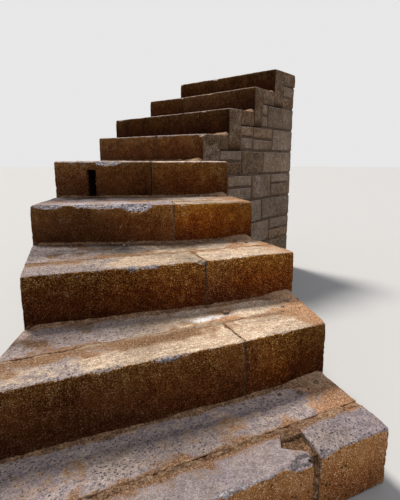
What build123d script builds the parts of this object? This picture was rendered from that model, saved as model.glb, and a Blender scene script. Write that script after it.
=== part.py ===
from build123d import *
import math
import os

# Weathered outdoor stone steps: four steps, a wedge-shaped landing step where the flight turns
# to the right, and four more steps. Each step is a front row of two long riser stones with a
# bedded tread slab behind them. Under them a masonry base of one mass per step runs down to one
# level foot, so that the flight stands by itself.
# Units are millimetres, +Z is up, the front of the flight faces -Y.

# ---------------------------------------------------------------- driving dimensions
# tread levels above the foot of the base, bottom step first
LEVEL = [190, 389, 574, 753, 945, 1120, 1295, 1470, 1645]
# nose line of each step in plan: left end, joint between the two riser stones, right end
NOSE = [
    ((-449, 531), (300, 900), (556, 1026)),
    ((-575, 862), (147, 1175), (450, 1328)),
    ((-600, 1273), (24, 1488), (400, 1648)),
    ((-765, 1790), (-120, 1850), (255, 1950)),
    ((-780, 2180), (-270, 2250), (160, 2330)),
    ((-800, 3280), (-310, 2945), (20, 2710)),
    ((-750, 3720), (-120, 3145), (200, 2840)),
    ((-455, 3840), (-140, 3600), (400, 3065)),
    ((-185, 4020), (35, 3840), (590, 3345)),
]
BACK = ((40, 4275), (805, 3605))          # back edge of the top tread
RISER_DEPTH = [120, 155, 165, 122, 140, 135, 140, 130, 145]   # front to back of the riser stones
TREAD_THICK = 100                          # bedded tread slab
STONE_JOINT = [0, 5, 5, 6, 5, 5, 4, 5, 5]  # open joint between two riser stones
BED_JOINT = [22, 9, 8, 7, 7, 7, 7, 7, 7]  # open joint between riser stones and tread slab
FOOT_JOINT = 4                             # open joint between a tread and the next riser
NOSE_ROUND = 14                            # worn arris of the nose
TOP_ROUND = 5                              # arris at the back of the riser stones
ORIGIN = (2.5, 2403.0)                     # plan centre of the whole flight

# worn and broken places: step, side, position along the stone (0 left .. 1 right), length
# along the nose, depth, angle of the bite above level, in degrees
CHIPS = [
    (1, "left", 0.966, 124, 22, 46),
    (1, "left", 0.62, 70, 6, 45),
    (1, "right", 0.06, 70, 12, 48),
    (1, "right", 0.93, 60, 7, 45),
    (2, "left", 0.44, 130, 9, 50),
    (2, "left", 0.70, 60, 7, 40),
    (2, "right", 0.45, 70, 7, 45),
    (3, "left", 0.62, 200, 9, 42),
    (3, "left", 0.985, 62, 14, 50),
    (3, "right", 0.35, 80, 6, 45),
    (4, "left", 0.49, 330, 17, 46),
    (4, "left", 0.73, 175, 35, 44),
    (4, "left", 0.12, 170, 18, 42),
    (4, "right", 0.10, 55, 9, 45),
    (5, "left", 0.55, 180, 20, 38),
    (5, "right", 0.55, 90, 6, 45),
    (6, "right", 0.98, 90, 18, 50),
    (6, "left", 0.35, 110, 8, 45),
    (7, "left", 0.08, 90, 12, 45),
    (7, "right", 0.45, 90, 8, 45),
    (8, "left", 0.97, 60, 10, 45),
    (8, "right", 0.40, 120, 9, 45),
    (9, "right", 0.18, 100, 12, 45),
    (9, "left", 0.03, 70, 12, 45),
]
# open hole where a packing stone has dropped out of the landing's riser:
# distance from the left end, width, height, depth, distance of its top below the nose
HOLE = (190, 40, 150, 85, 48)


def sub(a, b):
    return (a[0] - b[0], a[1] - b[1])


def add(a, b, k=1.0):
    return (a[0] + b[0] * k, a[1] + b[1] * k)


def unit(a):
    n = math.hypot(*a)
    return (a[0] / n, a[1] / n)


def left_of(d):
    return (-d[1], d[0])


def cross_point(p, d, q, e):
    """Where the line p + t d meets the line q + s e."""
    k = d[0] * e[1] - d[1] * e[0]
    r = sub(q, p)
    t = (r[0] * e[1] - r[1] * e[0]) / k
    return add(p, d, t)


def inset(points, gaps):
    """A polygon, anticlockwise, with edge i (from point i to the next) moved inwards by gaps[i]."""
    n = len(points)
    lines = []
    for i in range(n):
        a, b = points[i], points[(i + 1) % n]
        d = unit(sub(b, a))
        lines.append((add(a, left_of(d), gaps[i]), d))
    return [cross_point(*lines[i - 1], *lines[i]) for i in range(n)]


def prism(points, z0, z1):
    moved = [(x - ORIGIN[0], y - ORIGIN[1]) for x, y in points]
    face = make_face(Polyline(*moved, close=True))
    return extrude(Pos(0, 0, z0) * face, amount=z1 - z0, dir=(0, 0, 1))


def top_edge(solid, a, b, z):
    """The edge of the solid that runs between plan points a and b at height z."""
    mid = Vector((a[0] + b[0]) / 2 - ORIGIN[0], (a[1] + b[1]) / 2 - ORIGIN[1], z)
    return min(solid.edges(), key=lambda e: (e.center() - mid).length)


def bite(p, outward, z, length, depth, angle):
    """A scoop out of the arris at plan point p, seen from outside along the direction outward."""
    radius = (length * length / 4 + depth * depth) / (2 * depth)
    away = radius - depth
    c, s = math.cos(math.radians(angle)), math.sin(math.radians(angle))
    x = p[0] + outward[0] * away * c - ORIGIN[0]
    y = p[1] + outward[1] * away * c - ORIGIN[1]
    return Pos(x, y, z + away * s) * Sphere(radius)


N = len(LEVEL)
lefts = [n[0] for n in NOSE] + [BACK[0]]
rights = [n[2] for n in NOSE] + [BACK[1]]

# back line of each row of riser stones, where it meets the two side lines of the flight
bed_left, bed_right = [], []
for k in range(N):
    d = unit(sub(rights[k], lefts[k]))
    p = add(lefts[k], left_of(d), RISER_DEPTH[k])
    bed_left.append(cross_point(p, d, lefts[k], sub(lefts[k + 1], lefts[k])))
    bed_right.append(cross_point(p, d, rights[k], sub(rights[k + 1], rights[k])))

parts = {}
for k in range(N):
    step = k + 1
    top = LEVEL[k]
    below = LEVEL[k - 1] if k else 0
    foot = below - TREAD_THICK if k else 0
    L, M, R = NOSE[k]
    BL, BR = bed_left[k], bed_right[k]
    half = STONE_JOINT[k] / 2

    # ---- riser stones
    if step == 1:
        # the left stone's back corner has broken away beside the joint
        d = unit(sub(BR, BL))
        left_pts = [L, (303, 902), (292, 928), (222, 941), cross_point(BL, d, (222, 941), (4, 34)), BL]
        right_pts = [(322, 911), R, BR, cross_point(BL, d, (322, 911), (-34, 104))]
    else:
        d = unit(sub(R, L))
        MB = cross_point(BL, unit(sub(BR, BL)), M, left_of(d))
        left_pts = inset([L, M, MB, BL], [0, half, 0, 0])
        right_pts = inset([M, R, BR, MB], [0, 0, 0, half])
    for side, pts in (("left", left_pts), ("right", right_pts)):
        stone = prism(pts, foot, top)
        stone = fillet(top_edge(stone, pts[0], pts[1], top), NOSE_ROUND)
        back = top_edge(stone, pts[-2], pts[-1], top)
        stone = fillet(back, TOP_ROUND)
        along = unit(sub(pts[1], pts[0]))
        outward = (along[1], -along[0])
        reach = math.hypot(*sub(pts[1], pts[0]))
        for s, which, where, length, depth, angle in CHIPS:
            if s == step and which == side:
                p = add(pts[0], along, where * reach)
                stone = stone - bite(p, outward, top, length, depth, angle)
        if step == 5 and side == "left":
            away, wide, high, deep, under = HOLE
            c = add(pts[0], along, away)
            hole = Box(wide, 2 * deep, high)
            hole = fillet(hole.edges().filter_by(Axis.Y), 12)
            turn = math.degrees(math.atan2(along[1], along[0]))
            stone = stone - Pos(c[0] - ORIGIN[0], c[1] - ORIGIN[1], top - under - high / 2) * Rot(0, 0, turn) * hole
        parts[f"step{step}_riser_{side}"] = stone

    # ---- tread slab, from behind the riser stones to the foot of the next riser
    if k + 1 < N:
        nl, nm, nr = NOSE[k + 1]
        ring = [BL, BR, nr, nm, nl]
        gaps = [BED_JOINT[k], 0, FOOT_JOINT, FOOT_JOINT, 0]
    else:
        ring = [BL, BR, rights[N], lefts[N]]
        gaps = [BED_JOINT[k], 0, 0, 0]
    ring = inset(ring, gaps)
    slab = prism(ring, top - TREAD_THICK, top)
    slab = fillet(top_edge(slab, ring[0], ring[1], top), TOP_ROUND)
    if k + 1 == N:
        slab = fillet(top_edge(slab, ring[2], ring[3], top), NOSE_ROUND)
    name = "step5_landing_slab" if step == 5 else f"step{step}_tread_slab"
    parts[name] = slab

    # ---- masonry base: carries this tread and the next row of riser stones
    if k + 1 < N:
        ring = [BL, BR, rights[k + 1], bed_right[k + 1], bed_left[k + 1], lefts[k + 1]]
    else:
        ring = [BL, BR, rights[N], lefts[N]]
    parts[f"step{step}_base"] = prism(ring, 0, top - TREAD_THICK)

os.makedirs("parts", exist_ok=True)
for old in os.listdir("parts"):
    if old.endswith(".step"):
        os.remove(os.path.join("parts", old))
for name, shape in parts.items():
    shape.label = name
    export_step(shape, f"parts/{name}.step")
    print(name, round(shape.volume / 1e9, 5), "m3", [round(v) for v in shape.bounding_box().size])
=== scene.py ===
import math

import bpy
import numpy as np
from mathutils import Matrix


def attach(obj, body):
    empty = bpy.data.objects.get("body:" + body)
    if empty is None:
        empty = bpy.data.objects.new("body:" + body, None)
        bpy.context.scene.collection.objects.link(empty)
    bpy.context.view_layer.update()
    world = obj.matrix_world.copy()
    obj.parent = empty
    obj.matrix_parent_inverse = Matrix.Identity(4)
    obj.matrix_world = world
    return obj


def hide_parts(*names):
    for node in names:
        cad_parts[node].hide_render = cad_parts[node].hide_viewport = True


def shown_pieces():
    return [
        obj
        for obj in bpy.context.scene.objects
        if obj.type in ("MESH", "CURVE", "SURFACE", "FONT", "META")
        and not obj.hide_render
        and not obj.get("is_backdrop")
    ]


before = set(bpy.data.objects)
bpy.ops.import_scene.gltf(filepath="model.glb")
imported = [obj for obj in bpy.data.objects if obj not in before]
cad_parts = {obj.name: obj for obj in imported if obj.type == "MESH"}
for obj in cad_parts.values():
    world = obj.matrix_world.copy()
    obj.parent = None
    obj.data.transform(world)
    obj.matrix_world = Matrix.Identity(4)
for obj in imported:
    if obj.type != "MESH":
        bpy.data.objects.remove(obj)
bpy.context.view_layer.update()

# ------------------------------------------------------------------ layout (mm, as in the CAD)
LEVEL = [190, 389, 574, 753, 945, 1120, 1295, 1470, 1645]
NOSE = [
    ((-449, 531), (300, 900), (556, 1026)),
    ((-575, 862), (147, 1175), (450, 1328)),
    ((-600, 1273), (24, 1488), (400, 1648)),
    ((-765, 1790), (-120, 1850), (255, 1950)),
    ((-780, 2180), (-270, 2250), (160, 2330)),
    ((-800, 3280), (-310, 2945), (20, 2710)),
    ((-750, 3720), (-120, 3145), (200, 2840)),
    ((-455, 3840), (-140, 3600), (400, 3065)),
    ((-185, 4020), (35, 3840), (590, 3345)),
]
BACK = ((40, 4275), (805, 3605))
RISER_DEPTH = [120, 155, 165, 122, 140, 135, 140, 130, 145]
TREAD_THICK = 100
STONE_JOINT = [0, 5, 5, 6, 5, 5, 4, 5, 5]
BED_JOINT = [22, 9, 8, 7, 7, 7, 7, 7, 7]
FOOT_JOINT = 4
ORIGIN = (2.5, 2403.0)
N = len(LEVEL)


# ------------------------------------------------------------------ plan geometry
def sub(a, b):
    return (a[0] - b[0], a[1] - b[1])


def add(a, b, k=1.0):
    return (a[0] + b[0] * k, a[1] + b[1] * k)


def unit(a):
    n = math.hypot(*a)
    return (a[0] / n, a[1] / n)


def left_of(d):
    return (-d[1], d[0])


def dist(a, b):
    return math.hypot(a[0] - b[0], a[1] - b[1])


def cross_point(p, d, q, e):
    k = d[0] * e[1] - d[1] * e[0]
    r = sub(q, p)
    return add(p, d, (r[0] * e[1] - r[1] * e[0]) / k)


def inset(points, gaps):
    n = len(points)
    lines = []
    for i in range(n):
        a, b = points[i], points[(i + 1) % n]
        d = unit(sub(b, a))
        lines.append((add(a, left_of(d), gaps[i]), d))
    return [cross_point(*lines[i - 1], *lines[i]) for i in range(n)]


lefts = [n[0] for n in NOSE] + [BACK[0]]
rights = [n[2] for n in NOSE] + [BACK[1]]
bed_left, bed_right = [], []
for k in range(N):
    d = unit(sub(rights[k], lefts[k]))
    p = add(lefts[k], left_of(d), RISER_DEPTH[k])
    bed_left.append(cross_point(p, d, lefts[k], sub(lefts[k + 1], lefts[k])))
    bed_right.append(cross_point(p, d, rights[k], sub(rights[k + 1], rights[k])))


# ------------------------------------------------------------------ noise, the same on every run
def hash3(i, seed):
    h = (
        i[:, 0].astype(np.int64).astype(np.uint32) * np.uint32(0x8DA6B343)
        ^ i[:, 1].astype(np.int64).astype(np.uint32) * np.uint32(0xD8163841)
        ^ i[:, 2].astype(np.int64).astype(np.uint32) * np.uint32(0xCB1AB31F)
        ^ np.uint32((seed * 0x9E3779B9 + 0x1234567) & 0xFFFFFFFF)
    )
    h ^= h >> np.uint32(15)
    h *= np.uint32(0x2C1B3C6D)
    h ^= h >> np.uint32(12)
    h *= np.uint32(0x297A2D39)
    h ^= h >> np.uint32(15)
    return h


def noise(p, seed=0):
    """Gradient noise, about -1 to 1."""
    base = np.floor(p)
    f = p - base
    w = f * f * f * (f * (f * 6 - 15) + 10)
    out = np.zeros(len(p))
    for c in range(8):
        o = np.array([c & 1, c >> 1 & 1, c >> 2 & 1])
        h = hash3(base + o, seed)
        g = np.stack([(h >> np.uint32(s) & np.uint32(1023)).astype(float) / 511.5 - 1 for s in (0, 10, 20)], 1)
        wt = np.prod(np.where(o, w, 1 - w), axis=1)
        out += wt * ((f - o) * g).sum(1)
    return out * 1.55


def fbm(p, size, octaves=3, seed=0, gain=0.5):
    out, amp, tot = np.zeros(len(p)), 1.0, 0.0
    q = p / size
    for o in range(octaves):
        out += amp * noise(q, seed + 17 * o)
        tot += amp
        amp *= gain
        q = q[:, [1, 2, 0]] * 2.03 + 31.7
    return out / tot


def cells(p, size, seed=0):
    """Distance to the nearest of a set of scattered points, in cells, and that point's random number."""
    q = p / size
    base = np.floor(q)
    best = np.full(len(p), 9.0)
    tag = np.zeros(len(p))
    for a in (-1, 0, 1):
        for b in (-1, 0, 1):
            for c in (-1, 0, 1):
                i = base + (a, b, c)
                h = hash3(i, seed)
                at = i + np.stack([(h >> np.uint32(s) & np.uint32(1023)).astype(float) / 1023 for s in (0, 10, 20)], 1)
                dd = np.sqrt(((q - at) ** 2).sum(1))
                near = dd < best
                best = np.where(near, dd, best)
                tag = np.where(near, (hash3(i, seed + 99) & np.uint32(4095)).astype(float) / 4095, tag)
    return best, tag


def step_up(x, a, b):
    t = np.clip((x - a) / (b - a), 0, 1)
    return t * t * (3 - 2 * t)


# ------------------------------------------------------------------ surfaces of box-like pieces
def spaced(length, mid, fine=None, edge=0.0, first=None):
    """Grid lines from 0 to length: fine within edge of both ends, mid between; first replaces the start."""
    if first is not None:
        xs = list(first)
        while xs[-1] < length - 1e-6:
            left = length - xs[-1]
            step = fine if fine and left <= edge + 1e-6 else min(mid, max(left - edge, fine or mid))
            n = xs[-1] + step
            xs.append(length if length - n < 0.4 * (fine or mid) else n)
        return np.array(xs)
    if not fine:
        return np.linspace(0, length, max(2, int(round(length / mid)) + 1))
    edge = min(edge, length * 0.3)
    ne = max(1, int(round(edge / fine)))
    nm = max(1, int(round((length - 2 * edge) / mid)))
    return np.concatenate(
        [np.linspace(0, edge, ne + 1)[:-1], np.linspace(edge, length - edge, nm + 1), np.linspace(length - edge, length, ne + 1)[1:]]
    )


def box_grid(a, b, c, plain_back=None, plain_bottom=True, plain_front=False, plain_top=False):
    """Surface of a box with grid lines a (along), b (inwards), c (up). Hidden faces are one polygon each:
    plain_back is the height, in c, below which the back is one."""
    na, nb, nc = len(a), len(b), len(c)
    on = np.zeros((na, nb, nc), bool)
    on[0], on[-1], on[:, 0], on[:, -1], on[:, :, 0], on[:, :, -1] = (True,) * 6
    ids = np.full((na, nb, nc), -1)
    where = np.argwhere(on)
    ids[on] = np.arange(len(where))
    v = np.stack([a[where[:, 0]], b[where[:, 1]], c[where[:, 2]]], 1)
    loops, counts = [], []

    def face(g, flip, hole=None):
        q = np.stack([g[:-1, :-1], g[1:, :-1], g[1:, 1:], g[:-1, 1:]], -1)
        keep = np.ones(q.shape[:2], bool)
        if hole:
            r0, r1, s0, s1 = hole
            if r1 > r0 and s1 > s0:
                keep[r0:r1, s0:s1] = False
                ring = np.concatenate([g[r0:r1, s0], g[r1, s0:s1], g[r1:r0:-1, s1], g[r0, s1:s0:-1]])
                loops.append(ring[::-1] if flip else ring)
                counts.append(np.array([len(ring)]))
        q = q[keep]
        if flip:
            q = q[:, ::-1]
        loops.append(q.ravel())
        counts.append(np.full(len(q), 4))

    cut = int(np.searchsorted(c, plain_back)) if plain_back is not None else 0
    cut = min(cut, nc - 2)
    face(ids[:, 0, :], False, (0, na - 1, 0, nc - 1) if plain_front else None)
    face(ids[:, -1, :], True, (0, na - 1, 0, cut) if plain_back is not None else None)
    face(ids[:, :, 0], True, (0, na - 1, 0, nb - 1) if plain_bottom else None)
    face(ids[:, :, -1], False, (0, na - 1, 0, nb - 1) if plain_top else None)
    face(ids[0], True)
    face(ids[-1], False)
    return v, np.concatenate(loops), np.concatenate(counts)


def along_path(points, x):
    """Points at fractions x of a polyline; runs on straight past its ends."""
    pts = np.array(points, float)
    seg = np.linalg.norm(np.diff(pts, axis=0), axis=1)
    cum = np.concatenate([[0], np.cumsum(seg)])
    s = x * cum[-1]
    i = np.clip(np.searchsorted(cum, s, side="right") - 1, 0, len(seg) - 1)
    t = (s - cum[i]) / seg[i]
    return pts[i] + (pts[i + 1] - pts[i]) * t[:, None]


class Patch:
    """Plan shape of a piece: between a front and a back line, or between a left and a right line."""

    def __init__(self, front=None, back=None, left=None, right=None):
        self.fb = front is not None
        self.one, self.two = (front, back) if self.fb else (left, right)

    def at(self, u, t):
        if self.fb:
            a, b = along_path(self.one, u), along_path(self.two, u)
            return a + (b - a) * t[:, None]
        a, b = along_path(self.one, t), along_path(self.two, t)
        return a + (b - a) * u[:, None]


def length_of(points):
    return sum(dist(a, b) for a, b in zip(points, points[1:]))


class Piece:
    """A stone in the making: local places and outward directions (along, inwards, up) and world places."""

    def __init__(self, patch, size, z0, grid, radius):
        v, self.loops, self.counts = grid
        self.size = np.array(size, float)
        self.patch, self.z0 = patch, z0
        r = radius(v) if callable(radius) else np.full(len(v), float(radius))
        r = np.minimum(r, self.size.min() * 0.45)[:, None]
        q = np.clip(v, r, self.size - r)
        d = v - q
        n = d / np.maximum(np.linalg.norm(d, axis=1), 1e-9)[:, None]
        self.v, self.n = q + n * r, n
        self.place()

    def place(self):
        u, t, w = (self.v / self.size).T
        xy = self.patch.at(u, t)
        self.p = np.column_stack([xy, self.z0 + self.v[:, 2]])
        e = 1e-3
        du = self.patch.at(u + e, t) - self.patch.at(u - e, t)
        dt = self.patch.at(u, t + e) - self.patch.at(u, t - e)
        du /= np.linalg.norm(du, axis=1)[:, None]
        dt /= np.linalg.norm(dt, axis=1)[:, None]
        # outward directions that stand square to the faces
        a = np.column_stack([dt[:, 1], -dt[:, 0]])
        b = np.column_stack([-du[:, 1], du[:, 0]])
        nw = a * self.n[:, :1] + b * self.n[:, 1:2]
        self.nw = np.column_stack([nw, self.n[:, 2]])
        self.nw /= np.maximum(np.linalg.norm(self.nw, axis=1), 1e-9)[:, None]

    def push(self, amount):
        self.p = self.p + self.nw * amount[:, None]

    def scoop(self, at, outward, length, depth, angle, seed, rough=2.0):
        """Breaks a shallow bite out of an edge at a world point; returns how far each point moved."""
        radius = (length * length / 4 + depth * depth) / (2 * depth)
        away = radius - depth
        c, s = math.cos(math.radians(angle)), math.sin(math.radians(angle))
        centre = np.array([at[0] + outward[0] * away * c, at[1] + outward[1] * away * c, at[2] + away * s])
        d = self.p - centre
        reach = np.linalg.norm(d, axis=1)
        near = reach < radius + 6
        if not near.any():
            return np.zeros(len(self.p))
        rr = np.full(len(self.p), radius)
        q = self.p[near]
        rr[near] += rough * fbm(q, 17, 2, seed) + rough * 0.6 * fbm(q, 7, 2, seed + 5)
        moved = np.maximum(rr - reach, 0)
        moved[~near] = 0
        self.p = self.p + d / reach[:, None] * moved[:, None]
        return moved


def build(name, p, loops, counts, masks, material, smooth=True):
    """A mesh object from world points in mm, one list of masks per attribute."""
    used = np.unique(loops)
    new = np.full(len(p), -1)
    new[used] = np.arange(len(used))
    loops = new[loops].astype(np.int32)
    co = (p[used] - [ORIGIN[0], ORIGIN[1], 0.0]) / 1000.0
    me = bpy.data.meshes.new(name)
    me.vertices.add(len(co))
    me.vertices.foreach_set("co", co.astype(np.float32).ravel())
    me.loops.add(len(loops))
    me.loops.foreach_set("vertex_index", loops)
    me.polygons.add(len(counts))
    starts = np.concatenate([[0], np.cumsum(counts)[:-1]]).astype(np.int32)
    me.polygons.foreach_set("loop_start", starts)
    me.update(calc_edges=True)
    me.polygons.foreach_set("use_smooth", np.full(len(counts), smooth, bool))
    for key, chans in masks.items():
        if key == "loc":
            at = me.attributes.new("loc", "FLOAT_VECTOR", "POINT")
            at.data.foreach_set("vector", np.column_stack(chans)[used].astype(np.float32).ravel())
            continue
        data = np.zeros((len(used), 4), np.float32)
        data[:, 3] = 1
        for i, m in enumerate(chans):
            data[:, i] = np.clip(m[used], 0, 1)
        at = me.attributes.new(key, "FLOAT_COLOR", "POINT")
        at.data.foreach_set("color", data.ravel())
    me.validate()
    me.materials.append(material)
    o = bpy.data.objects.new(name, me)
    bpy.context.scene.collection.objects.link(o)
    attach(o, "root")
    return o


def own_places(local, seed):
    """Places in a stone's own axes, in metres, moved so that no two stones share a pattern."""
    o = np.random.RandomState(seed + 5).uniform(1, 9, 3)
    return [local[:, i] / 1000.0 + o[i] for i in range(3)]


def joined(parts):
    """Several (points, loops, counts, masks) as one."""
    ps, ls, cs, off = [], [], [], 0
    keys = parts[0][3].keys()
    ms = {key: [[] for _ in parts[0][3][key]] for key in keys}
    for p, l, c, m in parts:
        ps.append(p)
        ls.append(l + off)
        cs.append(c)
        off += len(p)
        for key in keys:
            for i, x in enumerate(m[key]):
                ms[key][i].append(x)
    return (
        np.concatenate(ps),
        np.concatenate(ls),
        np.concatenate(cs),
        {key: [np.concatenate(x) for x in ms[key]] for key in keys},
    )


# ------------------------------------------------------------------ materials
class Nodes:
    """Short names for building a node tree."""

    def __init__(self, name, slot_colour):
        self.mat = bpy.data.materials.new(name)
        self.mat.use_nodes = True
        self.mat.diffuse_color = (*slot_colour, 1)
        self.t = self.mat.node_tree
        for n in list(self.t.nodes):
            self.t.nodes.remove(n)
        self.out = self.t.nodes.new("ShaderNodeOutputMaterial")
        self.bsdf = self.t.nodes.new("ShaderNodeBsdfPrincipled")
        self.t.links.new(self.bsdf.outputs[0], self.out.inputs[0])
        n = self.t.nodes.new("ShaderNodeAttribute")
        n.attribute_type = "GEOMETRY"
        n.attribute_name = "loc"
        self.coord = n.outputs["Vector"]

    def put(self, socket, value):
        if isinstance(value, bpy.types.NodeSocket):
            self.t.links.new(value, socket)
        elif isinstance(value, (tuple, list)):
            socket.default_value = (*value, 1) if len(value) == 3 and socket.type == "RGBA" else value
        else:
            socket.default_value = value

    def wobble(self, amount, scale):
        """From here on, cells are looked up at a place shifted a little by noise, so that none is round."""
        n = self.t.nodes.new("ShaderNodeTexNoise")
        n.inputs["Scale"].default_value = scale
        n.inputs["Detail"].default_value = 2.0
        self.t.links.new(self.coord, n.inputs["Vector"])
        m = self.t.nodes.new("ShaderNodeVectorMath")
        m.operation = "MULTIPLY_ADD"
        self.t.links.new(n.outputs["Color"], m.inputs[0])
        m.inputs[1].default_value = (amount,) * 3
        self.t.links.new(self.coord, m.inputs[2])
        self.coord = m.outputs[0]

    def noise(self, scale, detail=3.0, rough=0.5, distort=0.0, offset=0.0, stretch=None):
        n = self.t.nodes.new("ShaderNodeTexNoise")
        n.inputs["Scale"].default_value = scale
        n.inputs["Detail"].default_value = detail
        n.inputs["Roughness"].default_value = rough
        n.inputs["Distortion"].default_value = distort
        m = self.t.nodes.new("ShaderNodeMapping")
        m.inputs["Location"].default_value = (offset, offset * 0.7, -offset * 1.3)
        if stretch:
            m.inputs["Scale"].default_value = stretch
        self.t.links.new(self.coord, m.inputs["Vector"])
        self.t.links.new(m.outputs[0], n.inputs["Vector"])
        return n.outputs["Fac"]

    def cells(self, scale, feature="F1", smooth=None, random=1.0, offset=0.0):
        n = self.t.nodes.new("ShaderNodeTexVoronoi")
        n.feature = feature
        n.inputs["Scale"].default_value = scale
        n.inputs["Randomness"].default_value = random
        if smooth is not None and "Smoothness" in n.inputs:
            n.inputs["Smoothness"].default_value = smooth
        m = self.t.nodes.new("ShaderNodeMapping")
        m.inputs["Location"].default_value = (offset, -offset * 0.6, offset * 1.1)
        self.t.links.new(self.coord, m.inputs["Vector"])
        self.t.links.new(m.outputs[0], n.inputs["Vector"])
        return n.outputs["Distance"], n.outputs["Color"]

    def math(self, op, a, b=None, c=None, clamp=False):
        n = self.t.nodes.new("ShaderNodeMath")
        n.operation = op
        n.use_clamp = clamp
        for i, x in enumerate((a, b, c)):
            if x is not None:
                self.put(n.inputs[i], x)
        return n.outputs[0]

    def span(self, x, a, b, lo=0.0, hi=1.0):
        n = self.t.nodes.new("ShaderNodeMapRange")
        n.interpolation_type = "SMOOTHSTEP"
        for i, val in enumerate((x, a, b, lo, hi)):
            self.put(n.inputs[i], val)
        return n.outputs[0]

    def mix(self, fac, a, b, mode="MIX"):
        n = self.t.nodes.new("ShaderNodeMix")
        n.data_type = "RGBA"
        n.blend_type = mode
        self.put(n.inputs[0], fac)
        self.put(n.inputs[6], a)
        self.put(n.inputs[7], b)
        return n.outputs[2]

    def ramp(self, x, stops):
        n = self.t.nodes.new("ShaderNodeValToRGB")
        n.color_ramp.interpolation = "LINEAR"
        while len(n.color_ramp.elements) < len(stops):
            n.color_ramp.elements.new(0.5)
        for e, (at, col) in zip(n.color_ramp.elements, stops):
            e.position = at
            e.color = (*col, 1)
        self.put(n.inputs[0], x)
        return n.outputs[0]

    def masks(self, key):
        n = self.t.nodes.new("ShaderNodeAttribute")
        n.attribute_type = "GEOMETRY"
        n.attribute_name = key
        s = self.t.nodes.new("ShaderNodeSeparateColor")
        self.t.links.new(n.outputs["Color"], s.inputs[0])
        return s.outputs[0], s.outputs[1], s.outputs[2], n.outputs["Alpha"]

    def part(self, colour, i):
        s = self.t.nodes.new("ShaderNodeSeparateColor")
        self.t.links.new(colour, s.inputs[0])
        return s.outputs[i]

    def grey(self, x):
        n = self.t.nodes.new("ShaderNodeCombineColor")
        for i in range(3):
            self.put(n.inputs[i], x)
        return n.outputs[0]

    def tinted(self, x, green, blue):
        """Grains by brightness x: the dark ones redder than the stone, the pale ones greyer."""
        n = self.t.nodes.new("ShaderNodeCombineColor")
        self.put(n.inputs[0], x)
        self.put(n.inputs[1], self.math("POWER", x, green))
        self.put(n.inputs[2], self.math("POWER", x, blue))
        return n.outputs[0]

    def finish(self, colour, rough, height, distance, strength=1.0):
        self.put(self.bsdf.inputs["Base Color"], colour)
        self.put(self.bsdf.inputs["Roughness"], rough)
        self.bsdf.inputs["Specular IOR Level"].default_value = 0.06
        b = self.t.nodes.new("ShaderNodeBump")
        b.inputs["Strength"].default_value = strength
        b.inputs["Distance"].default_value = distance
        self.put(b.inputs["Height"], height)
        self.t.links.new(b.outputs[0], self.bsdf.inputs["Normal"])
        return self.mat


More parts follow.
